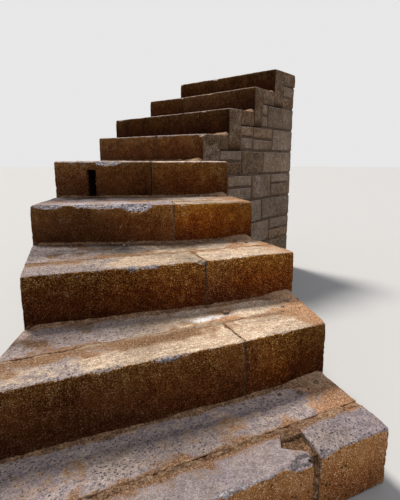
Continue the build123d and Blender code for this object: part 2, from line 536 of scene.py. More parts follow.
def stone_material(name, plain, face, dusty, top, cool, streaks, seed, grains=(1.45, 2.15)):
    """Masks m1: lichen on worn edges, dirt, grime (also painted shade inside the hole in the landing's riser),
    greyness. m2: upward faces, orange stain, brightness (partly painted light and shade), sand film. m3: height on the
    face, top side of the arris, redness of the dirt, pale smears.
    m4: bare end of a stone, absence of dark grains, smoothness of the face."""
    k = Nodes(name, plain)
    worn, dirt, grime, mauve = k.masks("m1")
    up, stain, tone, film = k.masks("m2")
    rise, over, red, smear = k.masks("m3")
    bare, plain, calm, _ = k.masks("m4")
    big = k.noise(5.0, 4, 0.55, 0.4, seed)
    mid = k.noise(34.0, 5, 0.62, 0.2, seed + 3)
    fine = k.noise(150.0, 4, 0.70, 0.0, seed + 7)
    grain = k.noise(430.0, 2, 0.6, 0.0, seed + 9)
    tiny = k.noise(300.0, 3, 0.65, 0.0, seed + 21)
    run = k.noise(1.0, 4, 0.6, 0.0, seed + 11, (62.0, 62.0, 8.0))
    drag = k.noise(1.0, 5, 0.66, 1.6, seed + 13, (13.0, 62.0, 40.0))
    hair = k.noise(1.0, 3, 0.6, 1.8, seed + 15, (17.0, 185.0, 60.0))
    k.wobble(0.0030, 210.0)
    bump_d, bump_c = k.cells(235.0, "F1", None, 1.0, seed)
    chip_d, chip_c = k.cells(74.0, "F1", None, 1.0, seed + 2)
    dot_d, dot_c = k.cells(128.0, "F1", None, 1.0, seed + 4)

    # upright faces: rough cast brown, redder and darker downwards, every grain standing out of a hollow painted dark
    # as painted shade
    at = k.math("ADD", rise, k.math("ADD", k.math("MULTIPLY", k.math("SUBTRACT", big, 0.5), 0.9), k.math("MULTIPLY", k.math("SUBTRACT", mid, 0.5), 0.7)))
    base = k.ramp(at, [(0.0, face[0]), (0.5, face[1]), (1.0, face[2])])
    base = k.mix(mauve, base, k.ramp(at, [(0.0, dusty[0]), (0.5, dusty[1]), (1.0, dusty[2])]))
    st = k.math("MULTIPLY", stain, k.span(mid, 0.30, 0.62, 0.6, 1.0))
    base = k.mix(k.math("MULTIPLY", st, 0.78), base, k.ramp(at, [(0.0, (0.167, 0.035, 0.0030)), (0.5, (0.295, 0.083, 0.0052)), (1.0, (0.360, 0.146, 0.0135))]))
    base = k.mix(bare, base, k.ramp(at, [(0.0, (0.120, 0.076, 0.046)), (0.5, (0.205, 0.140, 0.090)), (1.0, (0.300, 0.222, 0.158))]))
    # the hollows between the grains are painted dark: painted shade in the hollows
    gap = k.math("ADD", bump_d, k.math("MULTIPLY", k.math("SUBTRACT", fine, 0.5), 1.1))
    one = k.span(gap, 0.10, 0.70, 1.52, 0.26)
    one = k.math("MULTIPLY", one, k.span(fine, 0.37, 0.61, 0.72, 1.28))
    one = k.math("MULTIPLY", one, k.span(tiny, 0.38, 0.60, 0.45, 1.62))
    one = k.math("MULTIPLY", one, k.span(mid, 0.36, 0.62, 0.82, 1.18))
    one = k.math("MULTIPLY", one, k.span(k.part(bump_c, 0), 0.0, 1.0, 0.62, 1.40))
    one = k.math("MULTIPLY", one, k.span(run, 0.34, 0.66, 1.0 - streaks, 1.0 + streaks))
    one = k.math("ADD", k.math("MULTIPLY", one, k.math("SUBTRACT", 1.0, calm)), k.math("MULTIPLY", calm, 0.80))
    soft = k.math("MULTIPLY", mauve, 0.47)
    one = k.math("ADD", k.math("MULTIPLY", one, k.math("SUBTRACT", 1.0, soft)), soft)
    loud = k.math("MULTIPLY", k.math("SUBTRACT", 1.0, k.math("MULTIPLY", mauve, 0.40)), k.math("SUBTRACT", 1.0, calm))
    green, blue = (k.math("SUBTRACT", g, k.math("MULTIPLY", bare, (g - 1) * 0.9)) for g in grains)
    base = k.mix(1.0, base, k.tinted(one, green, blue), "MULTIPLY")
    light = k.math("MULTIPLY", k.span(dot_d, 0.34, 0.12), k.span(k.part(dot_c, 1), 0.88, 0.93))
    base = k.mix(k.math("MULTIPLY", k.math("MULTIPLY", light, loud), 0.42), base, k.mix(0.5, base, (0.46, 0.34, 0.23)))
    pips = k.math("MULTIPLY", k.span(bump_d, 0.42, 0.16), k.span(k.part(bump_c, 1), 0.62, 0.68))
    base = k.mix(k.math("MULTIPLY", k.math("MULTIPLY", pips, loud), 0.42), base, k.mix(0.5, base, (0.40, 0.25, 0.155)))
    # pits painted near black: painted shade in the pits
    hole = k.math("MULTIPLY", k.span(chip_d, 0.40, 0.20), k.span(k.part(chip_c, 0), 0.80, 0.88))
    base = k.mix(k.math("MULTIPLY", hole, 0.75), base, (0.012, 0.005, 0.002))

    # upward faces: paler and smoother, with scattered blue-black grains
    g = k.math("ADD", k.math("MULTIPLY", mid, 0.45), k.math("MULTIPLY", fine, 0.55))
    up_col = k.ramp(g, [(0.38, top[0]), (0.60, top[1])])
    up_col = k.mix(mauve, up_col, k.ramp(g, [(0.38, cool[0]), (0.60, cool[1])]))
    specks = k.math("MULTIPLY", k.span(dot_d, 0.52, 0.35), k.span(k.part(dot_c, 1), 0.54, 0.60))
    specks = k.math("MAXIMUM", specks, k.math("MULTIPLY", k.math("MULTIPLY", k.span(bump_d, 0.50, 0.32), k.span(k.part(bump_c, 2), 0.84, 0.90)), 0.8))
    specks = k.math("MULTIPLY", specks, k.span(mid, 0.36, 0.56, 0.35, 1.0))
    specks = k.math("MULTIPLY", specks, k.math("SUBTRACT", 1.0, plain))
    up_col = k.mix(k.math("MULTIPLY", specks, 0.94), up_col, (0.062, 0.050, 0.070))
    pale = k.math("MULTIPLY", k.span(chip_d, 0.30, 0.14), k.span(k.part(chip_c, 2), 0.80, 0.86))
    up_col = k.mix(k.math("MULTIPLY", pale, 0.45), up_col, (0.66, 0.60, 0.56))
    # a film of trodden sand, dragged along the step
    fi = k.math("ADD", film, k.math("MULTIPLY", k.math("SUBTRACT", k.math("ADD", drag, mid), 1.0), 1.1))
    fi = k.span(fi, 0.25, 0.75)
    sand = k.math("ADD", k.math("MULTIPLY", drag, 0.35), k.math("ADD", k.math("MULTIPLY", fine, 0.40), k.math("MULTIPLY", mid, 0.25)))
    sand = k.ramp(sand, [(0.40, (0.28, 0.180, 0.115)), (0.50, (0.54, 0.415, 0.305)), (0.59, (0.72, 0.60, 0.480))])
    sand = k.mix(k.math("MULTIPLY", k.span(hair, 0.55, 0.65), 0.72), sand, (0.185, 0.112, 0.070))
    sand = k.mix(k.math("MULTIPLY", specks, 0.30), sand, (0.16, 0.11, 0.085))
    up_col = k.mix(k.math("MULTIPLY", fi, 0.93), up_col, sand)
    sm = k.math("ADD", smear, k.math("MULTIPLY", k.math("SUBTRACT", k.math("ADD", drag, fine), 1.0), 1.2))
    up_col = k.mix(k.span(sm, 0.40, 0.70, 0.0, 0.85), up_col, k.mix(k.span(fine, 0.4, 0.6), (0.50, 0.53, 0.62), (0.74, 0.70, 0.68)))

    salt = k.math("MULTIPLY", k.span(tiny, 0.36, 0.62, 0.70, 1.27), k.span(k.part(bump_c, 0), 0.0, 1.0, 0.82, 1.16))
    quiet = k.math("MULTIPLY", mauve, 0.52)
    salt = k.math("ADD", k.math("MULTIPLY", salt, k.math("SUBTRACT", 1.0, quiet)), k.math("MULTIPLY", quiet, 0.97))
    up_col = k.mix(1.0, up_col, k.grey(salt), "MULTIPLY")

    edge = k.math("ADD", over, k.math("MULTIPLY", k.math("SUBTRACT", k.math("ADD", fine, k.math("MULTIPLY", gap, 0.6)), 0.8), 0.8))
    colour = k.mix(k.span(edge, 0.34, 0.62), base, up_col)

    # lichen and bare worn stone
    le = k.math("ADD", worn, k.math("MULTIPLY", k.math("SUBTRACT", k.math("ADD", mid, fine), 1.0), 1.7))
    lic = k.ramp(fine, [(0.40, (0.150, 0.135, 0.145)), (0.50, (0.360, 0.345, 0.385)), (0.60, (0.560, 0.560, 0.630))])
    lic = k.mix(k.math("MULTIPLY", specks, 0.9), lic, (0.060, 0.050, 0.070))
    colour = k.mix(k.span(le, 0.38, 0.66, 0.0, 0.86), colour, lic)

    # dark grime, also used as painted shade inside the hole in the landing's riser
    gr = k.math("ADD", grime, k.math("MULTIPLY", k.math("SUBTRACT", mid, 0.5), 0.9))
    colour = k.mix(k.span(gr, 0.30, 0.95, 0.0, 0.80), colour, (0.014, 0.0062, 0.0026))

    # soil
    so = k.math("ADD", dirt, k.math("MULTIPLY", k.math("SUBTRACT", k.math("ADD", mid, fine), 1.0), 1.5))
    e = k.math("ADD", k.math("MULTIPLY", fine, 0.65), k.math("MULTIPLY", grain, 0.35))
    earth = k.ramp(e, [(0.40, (0.040, 0.018, 0.009)), (0.50, (0.150, 0.078, 0.040)), (0.60, (0.34, 0.215, 0.125))])
    rust = k.ramp(e, [(0.40, (0.130, 0.052, 0.021)), (0.50, (0.330, 0.165, 0.082)), (0.60, (0.56, 0.355, 0.215))])
    colour = k.mix(k.span(so, 0.28, 0.82, 0.0, 0.92), colour, k.mix(red, earth, rust))

    # brightness by stone, partly painted light and shade, and the finest grain
    val = k.math("MULTIPLY", k.span(grain, 0.32, 0.68, 0.72, 1.28), k.math("MULTIPLY", tone, 2.0))
    colour = k.mix(1.0, colour, k.grey(val), "MULTIPLY")

    side = k.math("SUBTRACT", 1.0, up)
    height = k.math("ADD", k.math("MULTIPLY", mid, 0.9), k.math("MULTIPLY", fine, 0.70))
    height = k.math("ADD", height, k.math("MULTIPLY", grain, 0.15))
    height = k.math("SUBTRACT", height, k.math("MULTIPLY", k.span(gap, 0.1, 0.7), k.math("ADD", k.math("MULTIPLY", side, 0.45), 0.06)))
    height = k.math("SUBTRACT", height, k.math("MULTIPLY", hole, k.math("MULTIPLY", side, 0.5)))
    rough = k.span(fine, 0.3, 0.7, 0.82, 0.98)
    return k.finish(colour, rough, height, 0.0045, 0.95)


def soil_material(name, dark, mid, light, seed):
    k = Nodes(name, mid)
    redder, pale, tone, _ = k.masks("m1")
    a = k.noise(30.0, 5, 0.65, 0.3, seed)
    b = k.noise(150.0, 4, 0.7, 0.0, seed + 5)
    c = k.noise(420.0, 2, 0.6, 0.0, seed + 8)
    k.wobble(0.003, 190.0)
    d, dc = k.cells(150.0, "F1", None, 1.0, seed)
    x = k.math("ADD", k.math("MULTIPLY", a, 0.35), k.math("MULTIPLY", b, 0.65))
    col = k.ramp(x, [(0.40, dark), (0.50, mid), (0.60, light)])
    rust = k.ramp(x, [(0.40, (0.120, 0.046, 0.018)), (0.50, (0.32, 0.155, 0.074)), (0.60, (0.55, 0.345, 0.205))])
    col = k.mix(redder, col, rust)
    bits = k.math("MULTIPLY", k.span(d, 0.40, 0.20), k.span(k.part(dc, 0), 0.72, 0.80))
    col = k.mix(k.math("MULTIPLY", bits, 0.6), col, (0.46, 0.33, 0.22))
    dark_bits = k.math("MULTIPLY", k.span(d, 0.50, 0.25), k.span(k.part(dc, 1), 0.70, 0.80))
    col = k.mix(k.math("MULTIPLY", dark_bits, 0.75), col, (0.022, 0.011, 0.007))
    col = k.mix(k.math("MULTIPLY", pale, 0.7), col, (0.46, 0.37, 0.28))
    val = k.math("MULTIPLY", k.span(c, 0.3, 0.7, 0.7, 1.3), k.math("MULTIPLY", tone, 2.0))
    col = k.mix(1.0, col, k.grey(val), "MULTIPLY")
    h = k.math("ADD", k.math("MULTIPLY", a, 0.8), k.math("MULTIPLY", b, 0.8))
    h = k.math("SUBTRACT", h, k.math("MULTIPLY", d, 0.4))
    return k.finish(col, 0.95, h, 0.006, 1.0)


FACE = ((0.101, 0.0245, 0.0060), (0.167, 0.0520, 0.0102), (0.338, 0.157, 0.0350))
DUSTY = ((0.300, 0.150, 0.066), (0.370, 0.195, 0.090), (0.480, 0.280, 0.150))
COOL = ((0.192, 0.157, 0.173), (0.405, 0.354, 0.392))
SANDY = ((0.250, 0.185, 0.135), (0.560, 0.450, 0.345))
riser_mat = stone_material("riser_stone_finish", (0.30, 0.20, 0.12), FACE, DUSTY, SANDY, COOL, 0.13, 1.0)
tread_mat = stone_material("tread_stone_finish", (0.42, 0.34, 0.26), FACE, DUSTY, SANDY, COOL, 0.10, 5.0)
WALL = ((0.125, 0.070, 0.038), (0.215, 0.135, 0.078), (0.310, 0.215, 0.138))
WALL_GREY = ((0.160, 0.120, 0.092), (0.255, 0.205, 0.165), (0.350, 0.295, 0.250))
wall_mat = stone_material("base_masonry_finish", (0.24, 0.18, 0.13), WALL, WALL_GREY, SANDY, COOL, 0.06, 9.0, (1.08, 1.16))
soil_mat = soil_material("joint_soil", (0.034, 0.016, 0.009), (0.130, 0.068, 0.036), (0.31, 0.195, 0.115), 2.0)

# ------------------------------------------------------------------ art direction per step
# brightness of the treads and of the riser stones' tops (TOP_TONE) and of the fronts (FACE_TONE), 0.5 is plain: partly
# each stone's own tone, partly painted light and shade, with step 1's top and the fronts of steps 5 to 9 darker as
# painted shade and the tops of steps 2 and 5 brighter as painted sunlight
TOP_TONE = [0.42, 0.545, 0.50, 0.46, 0.54, 0.48, 0.44, 0.44, 0.44]
FACE_TONE = [0.58, 0.41, 0.46, 0.50, 0.32, 0.30, 0.148, 0.185, 0.165]
# how smooth the fronts are
CALM = [0.14, 0.24, 0.20, 0.44, 0.38, 0.36, 0.30, 0.30, 0.30]
# how grey the upward faces are, and how pale and dusty the fronts; step 1's grey-purple top is partly painted shade
MAUVE = [1.0, 0.15, 0.20, 0.60, 0.45, 0.5, 0.5, 0.5, 0.5]
DUST = [1.0, 0.06, 0.05, 0.04, 0.04, 0.10, 0.04, 0.08, 0.06]
DUST_STONE = {(2, "left"): 0.22, (4, "left"): 0.34, (5, "left"): 0.34, (5, "right"): 0.28, (6, "left"): 0.34, (6, "right"): 0.30,
              (8, "left"): 0.20, (8, "right"): 0.24}
# trodden sand on the riser stones and on the treads
SAND_NOSE = [0.10, 0.78, 0.72, 0.34, 0.55, 0.4, 0.4, 0.4, 0.4]
SAND_TREAD = [0.26, 0.62, 0.60, 0.58, 0.60, 0.5, 0.5, 0.5, 0.5]
# lichen along the noses: step, side, from, to (fractions of the stone), strength
LICHEN_RUNS = [
    (1, "left", 0.52, 0.84, 0.82), (1, "left", 0.88, 1.0, 0.35), (1, "right", 0.0, 0.22, 0.25),
    (2, "left", 0.10, 0.42, 0.45), (2, "left", 0.62, 0.76, 0.95), (2, "left", 0.80, 0.98, 0.28), (2, "right", 0.02, 0.3, 0.22),
    (3, "left", 0.05, 0.30, 0.40), (3, "left", 0.38, 0.84, 0.88), (3, "right", 0.1, 0.4, 0.20),
    (4, "left", 0.02, 0.24, 0.80), (4, "left", 0.30, 0.84, 0.90), (4, "right", 0.0, 0.25, 0.22),
    (5, "left", 0.05, 0.80, 0.85), (5, "right", 0.0, 1.0, 0.40),
    (6, "left", 0.30, 1.0, 0.40), (6, "right", 0.0, 0.85, 0.70),
    (7, "left", 0.1, 1.0, 0.40), (7, "right", 0.0, 1.0, 0.35),
    (8, "left", 0.1, 0.9, 0.30), (8, "right", 0.0, 0.8, 0.30),
    (9, "left", 0.1, 0.9, 0.35), (9, "right", 0.0, 0.5, 0.30),
]
# orange stain on the fronts: step, side, centre, half width (fractions), strength
STAIN = [
    (1, "right", 0.5, 0.6, 0.45), (1, "left", 0.8, 0.4, 0.40),
    (2, "right", 0.6, 0.5, 0.55), (2, "left", 0.8, 0.3, 0.35),
    (3, "right", 0.7, 0.5, 0.80), (3, "left", 0.7, 0.5, 0.35),
    (4, "right", 0.50, 0.60, 1.0), (4, "left", 0.75, 0.3, 0.35),
    (5, "right", 0.5, 0.6, 0.55), (5, "left", 0.8, 0.4, 0.40),
    (6, "right", 0.3, 0.5, 0.15), (7, "left", 0.4, 0.5, 0.45), (8, "left", 0.4, 0.6, 0.5), (9, "left", 0.5, 0.6, 0.4),
]
# large broken places: step, side, place along the nose, length, depth, angle
CHIPS = [
    (1, "left", 0.966, 124, 22, 46),
    (1, "left", 0.62, 70, 6, 45),
    (1, "right", 0.06, 70, 12, 48),
    (1, "right", 0.93, 60, 7, 45),
    (2, "left", 0.44, 130, 9, 50),
    (2, "left", 0.70, 60, 7, 40),
    (2, "right", 0.45, 70, 7, 45),
    (3, "left", 0.62, 200, 9, 42),
    (3, "left", 0.985, 62, 14, 50),
    (3, "right", 0.35, 80, 6, 45),
    (4, "left", 0.49, 330, 17, 46),
    (4, "left", 0.73, 175, 35, 44),
    (4, "left", 0.12, 170, 18, 42),
    (4, "right", 0.10, 55, 9, 45),
    (5, "left", 0.55, 180, 20, 38),
    (5, "right", 0.55, 90, 6, 45),
    (6, "right", 0.98, 90, 18, 50),
    (6, "left", 0.35, 110, 8, 45),
    (7, "left", 0.08, 90, 12, 45),
    (7, "right", 0.45, 90, 8, 45),
    (8, "left", 0.97, 60, 10, 45),
    (8, "right", 0.40, 120, 9, 45),
    (9, "right", 0.18, 100, 12, 45),
    (9, "left", 0.03, 70, 12, 45),
]
HOLE = (190, 40, 150, 85, 48)
FINE = 1.0
# darker left parts of the treads, partly damp stone and partly painted shade: step -> how much darker, where the
# darkening starts to fade and where it ends
DAMP_AND_SHADE = {1: (0.23, 0.45, 0.85), 2: (0.20, 0.30, 0.80), 3: (0.34, 0.60, 1.0), 4: (0.42, 0.35, 0.75)}
# darker and brighter stretches of the fronts, partly damp and dry stone and partly painted light and shade: step, side
# -> places along the stone and brightness there
FRONT = {
    (1, "left"): ((0.0, 1.0), (0.93, 0.93)),
    (2, "left"): ((0.30, 0.62, 0.95), (0.64, 0.84, 0.88)),
    (2, "right"): ((0.0, 0.42, 0.62, 0.95), (1.15, 1.08, 0.70, 0.66)),
    (3, "left"): ((0.30, 0.55, 0.80, 1.0), (0.66, 0.80, 1.12, 1.15)),
    (3, "right"): ((0.0, 0.90), (1.24, 1.18)),
    (4, "left"): ((0.30, 0.52, 0.80, 1.0), (0.52, 0.62, 0.94, 1.02)),
    (4, "right"): ((0.0, 0.40, 0.75, 1.0), (1.38, 1.30, 0.92, 0.78)),
    (5, "left"): ((0.20, 0.60, 0.90), (1.05, 0.90, 0.74)),
    (5, "right"): ((0.0, 0.5, 1.0), (0.90, 1.10, 1.0)),
}


# weathered places and patches of painted light and shade on the upward faces: step, piece, centre and reach along it
# and across it (fractions), brightness gained (partly painted light and shade, such as painted shadow at the back of
# tread 3 and painted sunlight on step 5's right nose), soil gained, bare worn stone gained
SPOTS = [
    (1, "left", 0.60, 0.50, 0.16, 0.60, -0.15, 0, 0), (1, "right", 0.50, 0.75, 0.60, 0.40, -0.12, -0.45, 0),
    (1, "right", 0.50, 0.25, 0.80, 0.60, -0.12, 0, 0),
    (1, "tread", 0.45, 0.30, 0.12, 0.35, -0.28, 0, 0), (1, "tread", 0.58, 0.35, 0.08, 0.35, -0.14, 0, 0),
    (1, "tread", 0.84, 0.25, 0.07, 0.30, 0.10, -0.40, 0),
    (2, "left", 0.60, 0.30, 0.11, 0.50, -0.24, 0.10, 0.10), (2, "left", 0.62, 0.85, 0.14, 0.30, -0.25, 0.50, 0),
    (2, "left", 0.79, 0.85, 0.10, 0.28, -0.20, 0.42, 0), (2, "tread", 0.42, 0.30, 0.09, 0.35, -0.22, 0.10, 0),
    (2, "right", 0.50, 0.85, 0.18, 0.25, -0.25, 0.35, 0), (2, "right", 0.84, 0.20, 0.16, 0.30, -0.12, 0.15, 0),
    (2, "tread", 0.76, 0.32, 0.08, 0.26, 0.30, -0.50, 0), (2, "tread", 0.64, 0.30, 0.07, 0.26, 0.22, -0.75, 0),
    (2, "tread", 0.86, 0.64, 0.18, 0.32, 0.15, 0.30, 0), (3, "left", 0.52, 0.40, 0.28, 0.70, -0.09, 0, 0),
    (3, "left", 0.92, 0.45, 0.09, 0.70, -0.34, 0.05, 0.15), (3, "left", 0.77, 0.85, 0.10, 0.30, -0.22, 0.10, 0),
    (3, "tread", 0.37, 0.25, 0.09, 0.35, -0.34, 0, 0), (3, "tread", 0.37, 0.80, 0.09, 0.25, -0.50, 0, 0),
    (3, "right", 0.35, 0.40, 0.35, 0.80, 0.13, -0.15, 0), (3, "right", 0.84, 0.20, 0.15, 0.40, 0.15, 0.10, 0),
    (3, "tread", 0.92, 0.30, 0.07, 0.35, 0.22, 0, 0),
    (4, "left", 0.30, 0.25, 0.12, 0.50, 0.30, -0.20, 0.55), (4, "left", 0.64, 0.25, 0.20, 0.55, 0.36, -0.20, 0.60),
    (4, "tread", 0.50, 0.30, 0.12, 0.50, -0.24, 0, 0),
    (4, "right", 0.18, 0.85, 0.13, 0.30, -0.38, 0.20, 0), (4, "right", 0.50, 0.20, 0.15, 0.30, -0.38, 0.10, 0),
    (4, "right", 0.84, 0.15, 0.15, 0.25, -0.34, 0.20, 0), (4, "right", 0.84, 0.75, 0.15, 0.30, 0.28, 0, 0),
    (4, "tread", 0.82, 0.35, 0.12, 0.40, 0.26, 0, 0), (4, "tread", 0.80, 0.85, 0.16, 0.20, -0.38, 0, 0),
    (5, "left", 0.35, 0.20, 0.34, 0.50, 0.10, -0.20, 0.50), (5, "right", 0.45, 0.0, 0.90, 0.20, 0.64, -0.40, 0),
]


def spots(step, part, x, y, wobble):
    """Brightness, soil and bare stone gained at x, y on a piece."""
    out = np.zeros((3, len(x)))
    for s, w, cx, cy, rx, ry, *gains in SPOTS:
        if s == step and w == part:
            m = np.exp(-(((x - cx) / rx) ** 2 + ((y - cy) / ry) ** 2) * (1 + 0.9 * np.clip(wobble, -0.6, 0.9)))
            out += np.outer(gains, m)
    return out


def weather(piece, seed, face_amp=1.0, top_amp=1.0):
    """The unevenness of an old stone: long waves, hand-sized swells, grains and pits."""
    p, up = piece.p, step_up(piece.n[:, 2], 0.3, 0.8)
    off = np.array([seed * 37.1, seed * 11.7, seed * 23.9])
    q = p + off
    amp = face_amp * (1 - up) + top_amp * up
    d = 2.2 * fbm(q, 230, 2, seed) * amp
    d += 1.9 * fbm(q, 62, 3, seed + 1) * amp
    d += 1.0 * fbm(q, 21, 2, seed + 2) * amp
    near, tag = cells(q, 15, seed + 3)
    d -= 1.9 * (1 - step_up(near, 0.10, 0.52)) * (tag > 0.45) * (0.45 + 0.55 * (1 - up)) * face_amp
    near, tag = cells(q, 36, seed + 4)
    d -= 3.2 * (1 - step_up(near, 0.06, 0.30)) * (tag > 0.62) * (1 - 0.4 * up) * face_amp
    return d


def nose_wear(piece, seed, run, top_z, outward, start, along):
    """Small bites along an arris that starts at plan point start and runs run mm."""
    rs = np.random.RandomState(seed)
    moved = np.zeros(len(piece.p))
    x = rs.uniform(5, 40)
    while x < run - 5:
        at = (start[0] + along[0] * x, start[1] + along[1] * x, top_z)
        big = rs.rand() < 0.18
        length = rs.uniform(34, 62) if big else rs.uniform(12, 32)
        depth = rs.uniform(4.0, 8.0) if big else rs.uniform(1.6, 4.2)
        moved = np.maximum(moved, piece.scoop(at, outward, length, depth, rs.uniform(28, 62), seed + int(x), 1.2))
        x += rs.uniform(12, 48)
    return moved


def runs_mask(table, step, side, x, wobble):
    out = np.zeros_like(x)
    for s, w, a, b, strength in table:
        if s == step and w == side:
            m = step_up(x, a - 0.06, a + 0.05) * (1 - step_up(x, b - 0.05, b + 0.06))
            out = np.maximum(out, m * strength)
    return out * wobble


# ------------------------------------------------------------------ riser stones
made = {}
joint_quads = []
for k in range(N):
    step, top = k + 1, LEVEL[k]
    below = LEVEL[k - 1] if k else 0
    base = below - TREAD_THICK if k else 0
    L, M, R = NOSE[k]
    BL, BR = bed_left[k], bed_right[k]
    half = STONE_JOINT[k] / 2
    if step == 1:
        d = unit(sub(BR, BL))
        # the left stone's back corner has broken away beside the joint
        broken = [(303, 902), (292, 928), (222, 941), cross_point(BL, d, (222, 941), (4, 34))]
        head = cross_point(BL, d, (322, 911), (-34, 104))
        quads = {"left": [L, broken[0], broken[3], BL], "right": [(322, 911), R, BR, head]}
        joint_quads.append([broken[0], (322, 911), head, broken[3]])
    else:
        d = unit(sub(R, L))
        MB = cross_point(BL, unit(sub(BR, BL)), M, left_of(d))
        quads = {"left": inset([L, M, MB, BL], [0, half, 0, 0]), "right": inset([M, R, BR, MB], [0, 0, 0, half])}
        ql, qr = quads["left"], quads["right"]
        joint_quads.append([ql[1], qr[0], qr[3], ql[2]])
    mid = (4.5 if step <= 4 else 6.8) * FINE
    for side, q in quads.items():
        seed = 100 + 10 * step + (side == "right")
        run, deep, high = dist(q[0], q[1]), (dist(q[0], q[3]) + dist(q[1], q[2])) / 2, top - base
        gs = spaced(run, mid, 2.6 * FINE, 13)
        gb = np.unique(np.concatenate([spaced(deep, mid, 2.6 * FINE, 18)]))
        hidden = below - base
        first = [0, hidden * 0.5, hidden - 8] if k else [0]
        gc = spaced(high, mid, 2.6 * FINE, 18, first=first)
        grid = box_grid(gs, gb, gc, plain_back=high - 34)

        def radius(v, run=run, deep=deep, high=high, seed=seed, side=side, step=step):
            nose = np.hypot(v[:, 1], high - v[:, 2])
            wob = fbm(np.column_stack([v[:, 0], np.full(len(v), seed * 7.0), np.zeros(len(v))]), 55, 3, seed)
            r = 4.5 + (7.5 + 5.5 * wob) * (1 - step_up(nose, 14, 42))
            r = np.clip(r, 3.5, 17)
            to_joint = run - v[:, 0] if side == "left" else v[:, 0]
            return r if step == 1 else np.minimum(r, 2.4 + 16 * step_up(to_joint, 2, 26))

        s = Piece(Patch(front=[q[0], q[1]], back=[q[3], q[2]]), (run, deep, high), base, grid, radius)
        v0 = s.v.copy()
        along = unit(sub(q[1], q[0]))
        if step == 1 and side == "left":
            # rows of the stone run on, or stop short, to meet the broken end
            rel = s.p[:, :2] - np.array(q[0])
            a_, t_ = rel @ np.array(along), rel @ np.array(left_of(along))
            ends_ = [(sub(c, q[0])[0] * along[0] + sub(c, q[0])[1] * along[1], sub(c, q[0])[1] * along[0] - sub(c, q[0])[0] * along[1]) for c in broken]
            te = np.array([e[1] for e in ends_])
            new_end = np.interp(t_ + 1.5 * fbm(s.p, 25, 2, 71), te, [e[0] for e in ends_]) + 2.0 * fbm(s.p, 30, 2, 72)
            old_end = np.interp(t_, te[[0, 3]], [ends_[0][0], ends_[3][0]])
            a0 = run - 260.0
            far = a_ > a0
            gain = np.where(far, (a_ - a0) * ((new_end - a0) / (old_end - a0) - 1), 0.0)
            s.p[:, :2] += np.outer(gain, along)
        s.push(weather(s, seed, 1.0, 0.75))
        outward = (along[1], -along[0])
        chip = np.zeros(len(s.p))
        for st, which, where, length, depth, angle in CHIPS:
            if st == step and which == side:
                at = (*add(q[0], along, where * run), top)
                chip = np.maximum(chip, s.scoop(at, outward, length, depth, angle, seed + int(where * 100), 2.0 + depth * 0.22))
        small = nose_wear(s, seed, run, top, outward, q[0], along)
        # worn upright arrises
        for end in (0, 1):
            rs = np.random.RandomState(seed * 3 + end)
            z = below + 20
            while z < top - 15:
                out2 = unit(add(outward, along, 1 if end else -1))
                c = add(q[end], (0, 0))
                tight = step > 1 and (end == 1) == (side == "left")
                s.scoop((c[0], c[1], z), out2, rs.uniform(14, 44), rs.uniform(1.5, 5.0) * (0.35 if tight else 1.0), 0, seed + int(z), 1.0)
                z += rs.uniform(20, 60)
        if step == 5 and side == "left":
            # the packing stone that has dropped out of the landing's riser
            away, wide, tall, inward, under = HOLE
            x, z = v0[:, 0] - away, v0[:, 2] - (high - under - tall / 2)
            wob = 5 * fbm(s.p, 30, 2, seed + 50)
            inside = (np.maximum(np.abs(x) - wide / 2, np.abs(z) - tall / 2) + wob) < 0
            front = v0[:, 1] < 12
            depth = np.where(inside & front, inward, 0.0)
            s.p[:, :2] -= np.outer(depth, outward)
        # masks
        x = v0[:, 0] / run
        z = s.p[:, 2]
        up = step_up(s.n[:, 2], 0.25, 0.75)
        n1 = fbm(s.p, 46, 3, seed + 20)
        n2 = fbm(s.p, 130, 2, seed + 21)
        nose = np.hypot(v0[:, 1], high - v0[:, 2])
        n3 = fbm(s.p, 16, 3, seed + 22)
        patchy = step_up(n1 + 0.5 * n3, -0.25, 0.35)
        lichen_here = runs_mask(LICHEN_RUNS, step, side, x, 1.0)
        worn = np.exp(-((nose / ((11 + 8 * n1) * (1.6 if step >= 5 else 1.35 if step >= 3 else 1.0))) ** 2)) * lichen_here * (0.25 + 0.95 * patchy)
        worn = np.maximum(worn, step_up(chip, 0.5, 9) * ({1: 0.05, 3: 0.14}.get(step, 0.36) + 0.30 * n1 + 0.30 * n3))
        worn = np.maximum(worn, step_up(small, 0.4, 2.5) * (0.34 + 0.3 * n1) * step_up(lichen_here, 0.0, 0.3))
        foot = z - below
        ends = np.minimum(v0[:, 0], run - v0[:, 0])
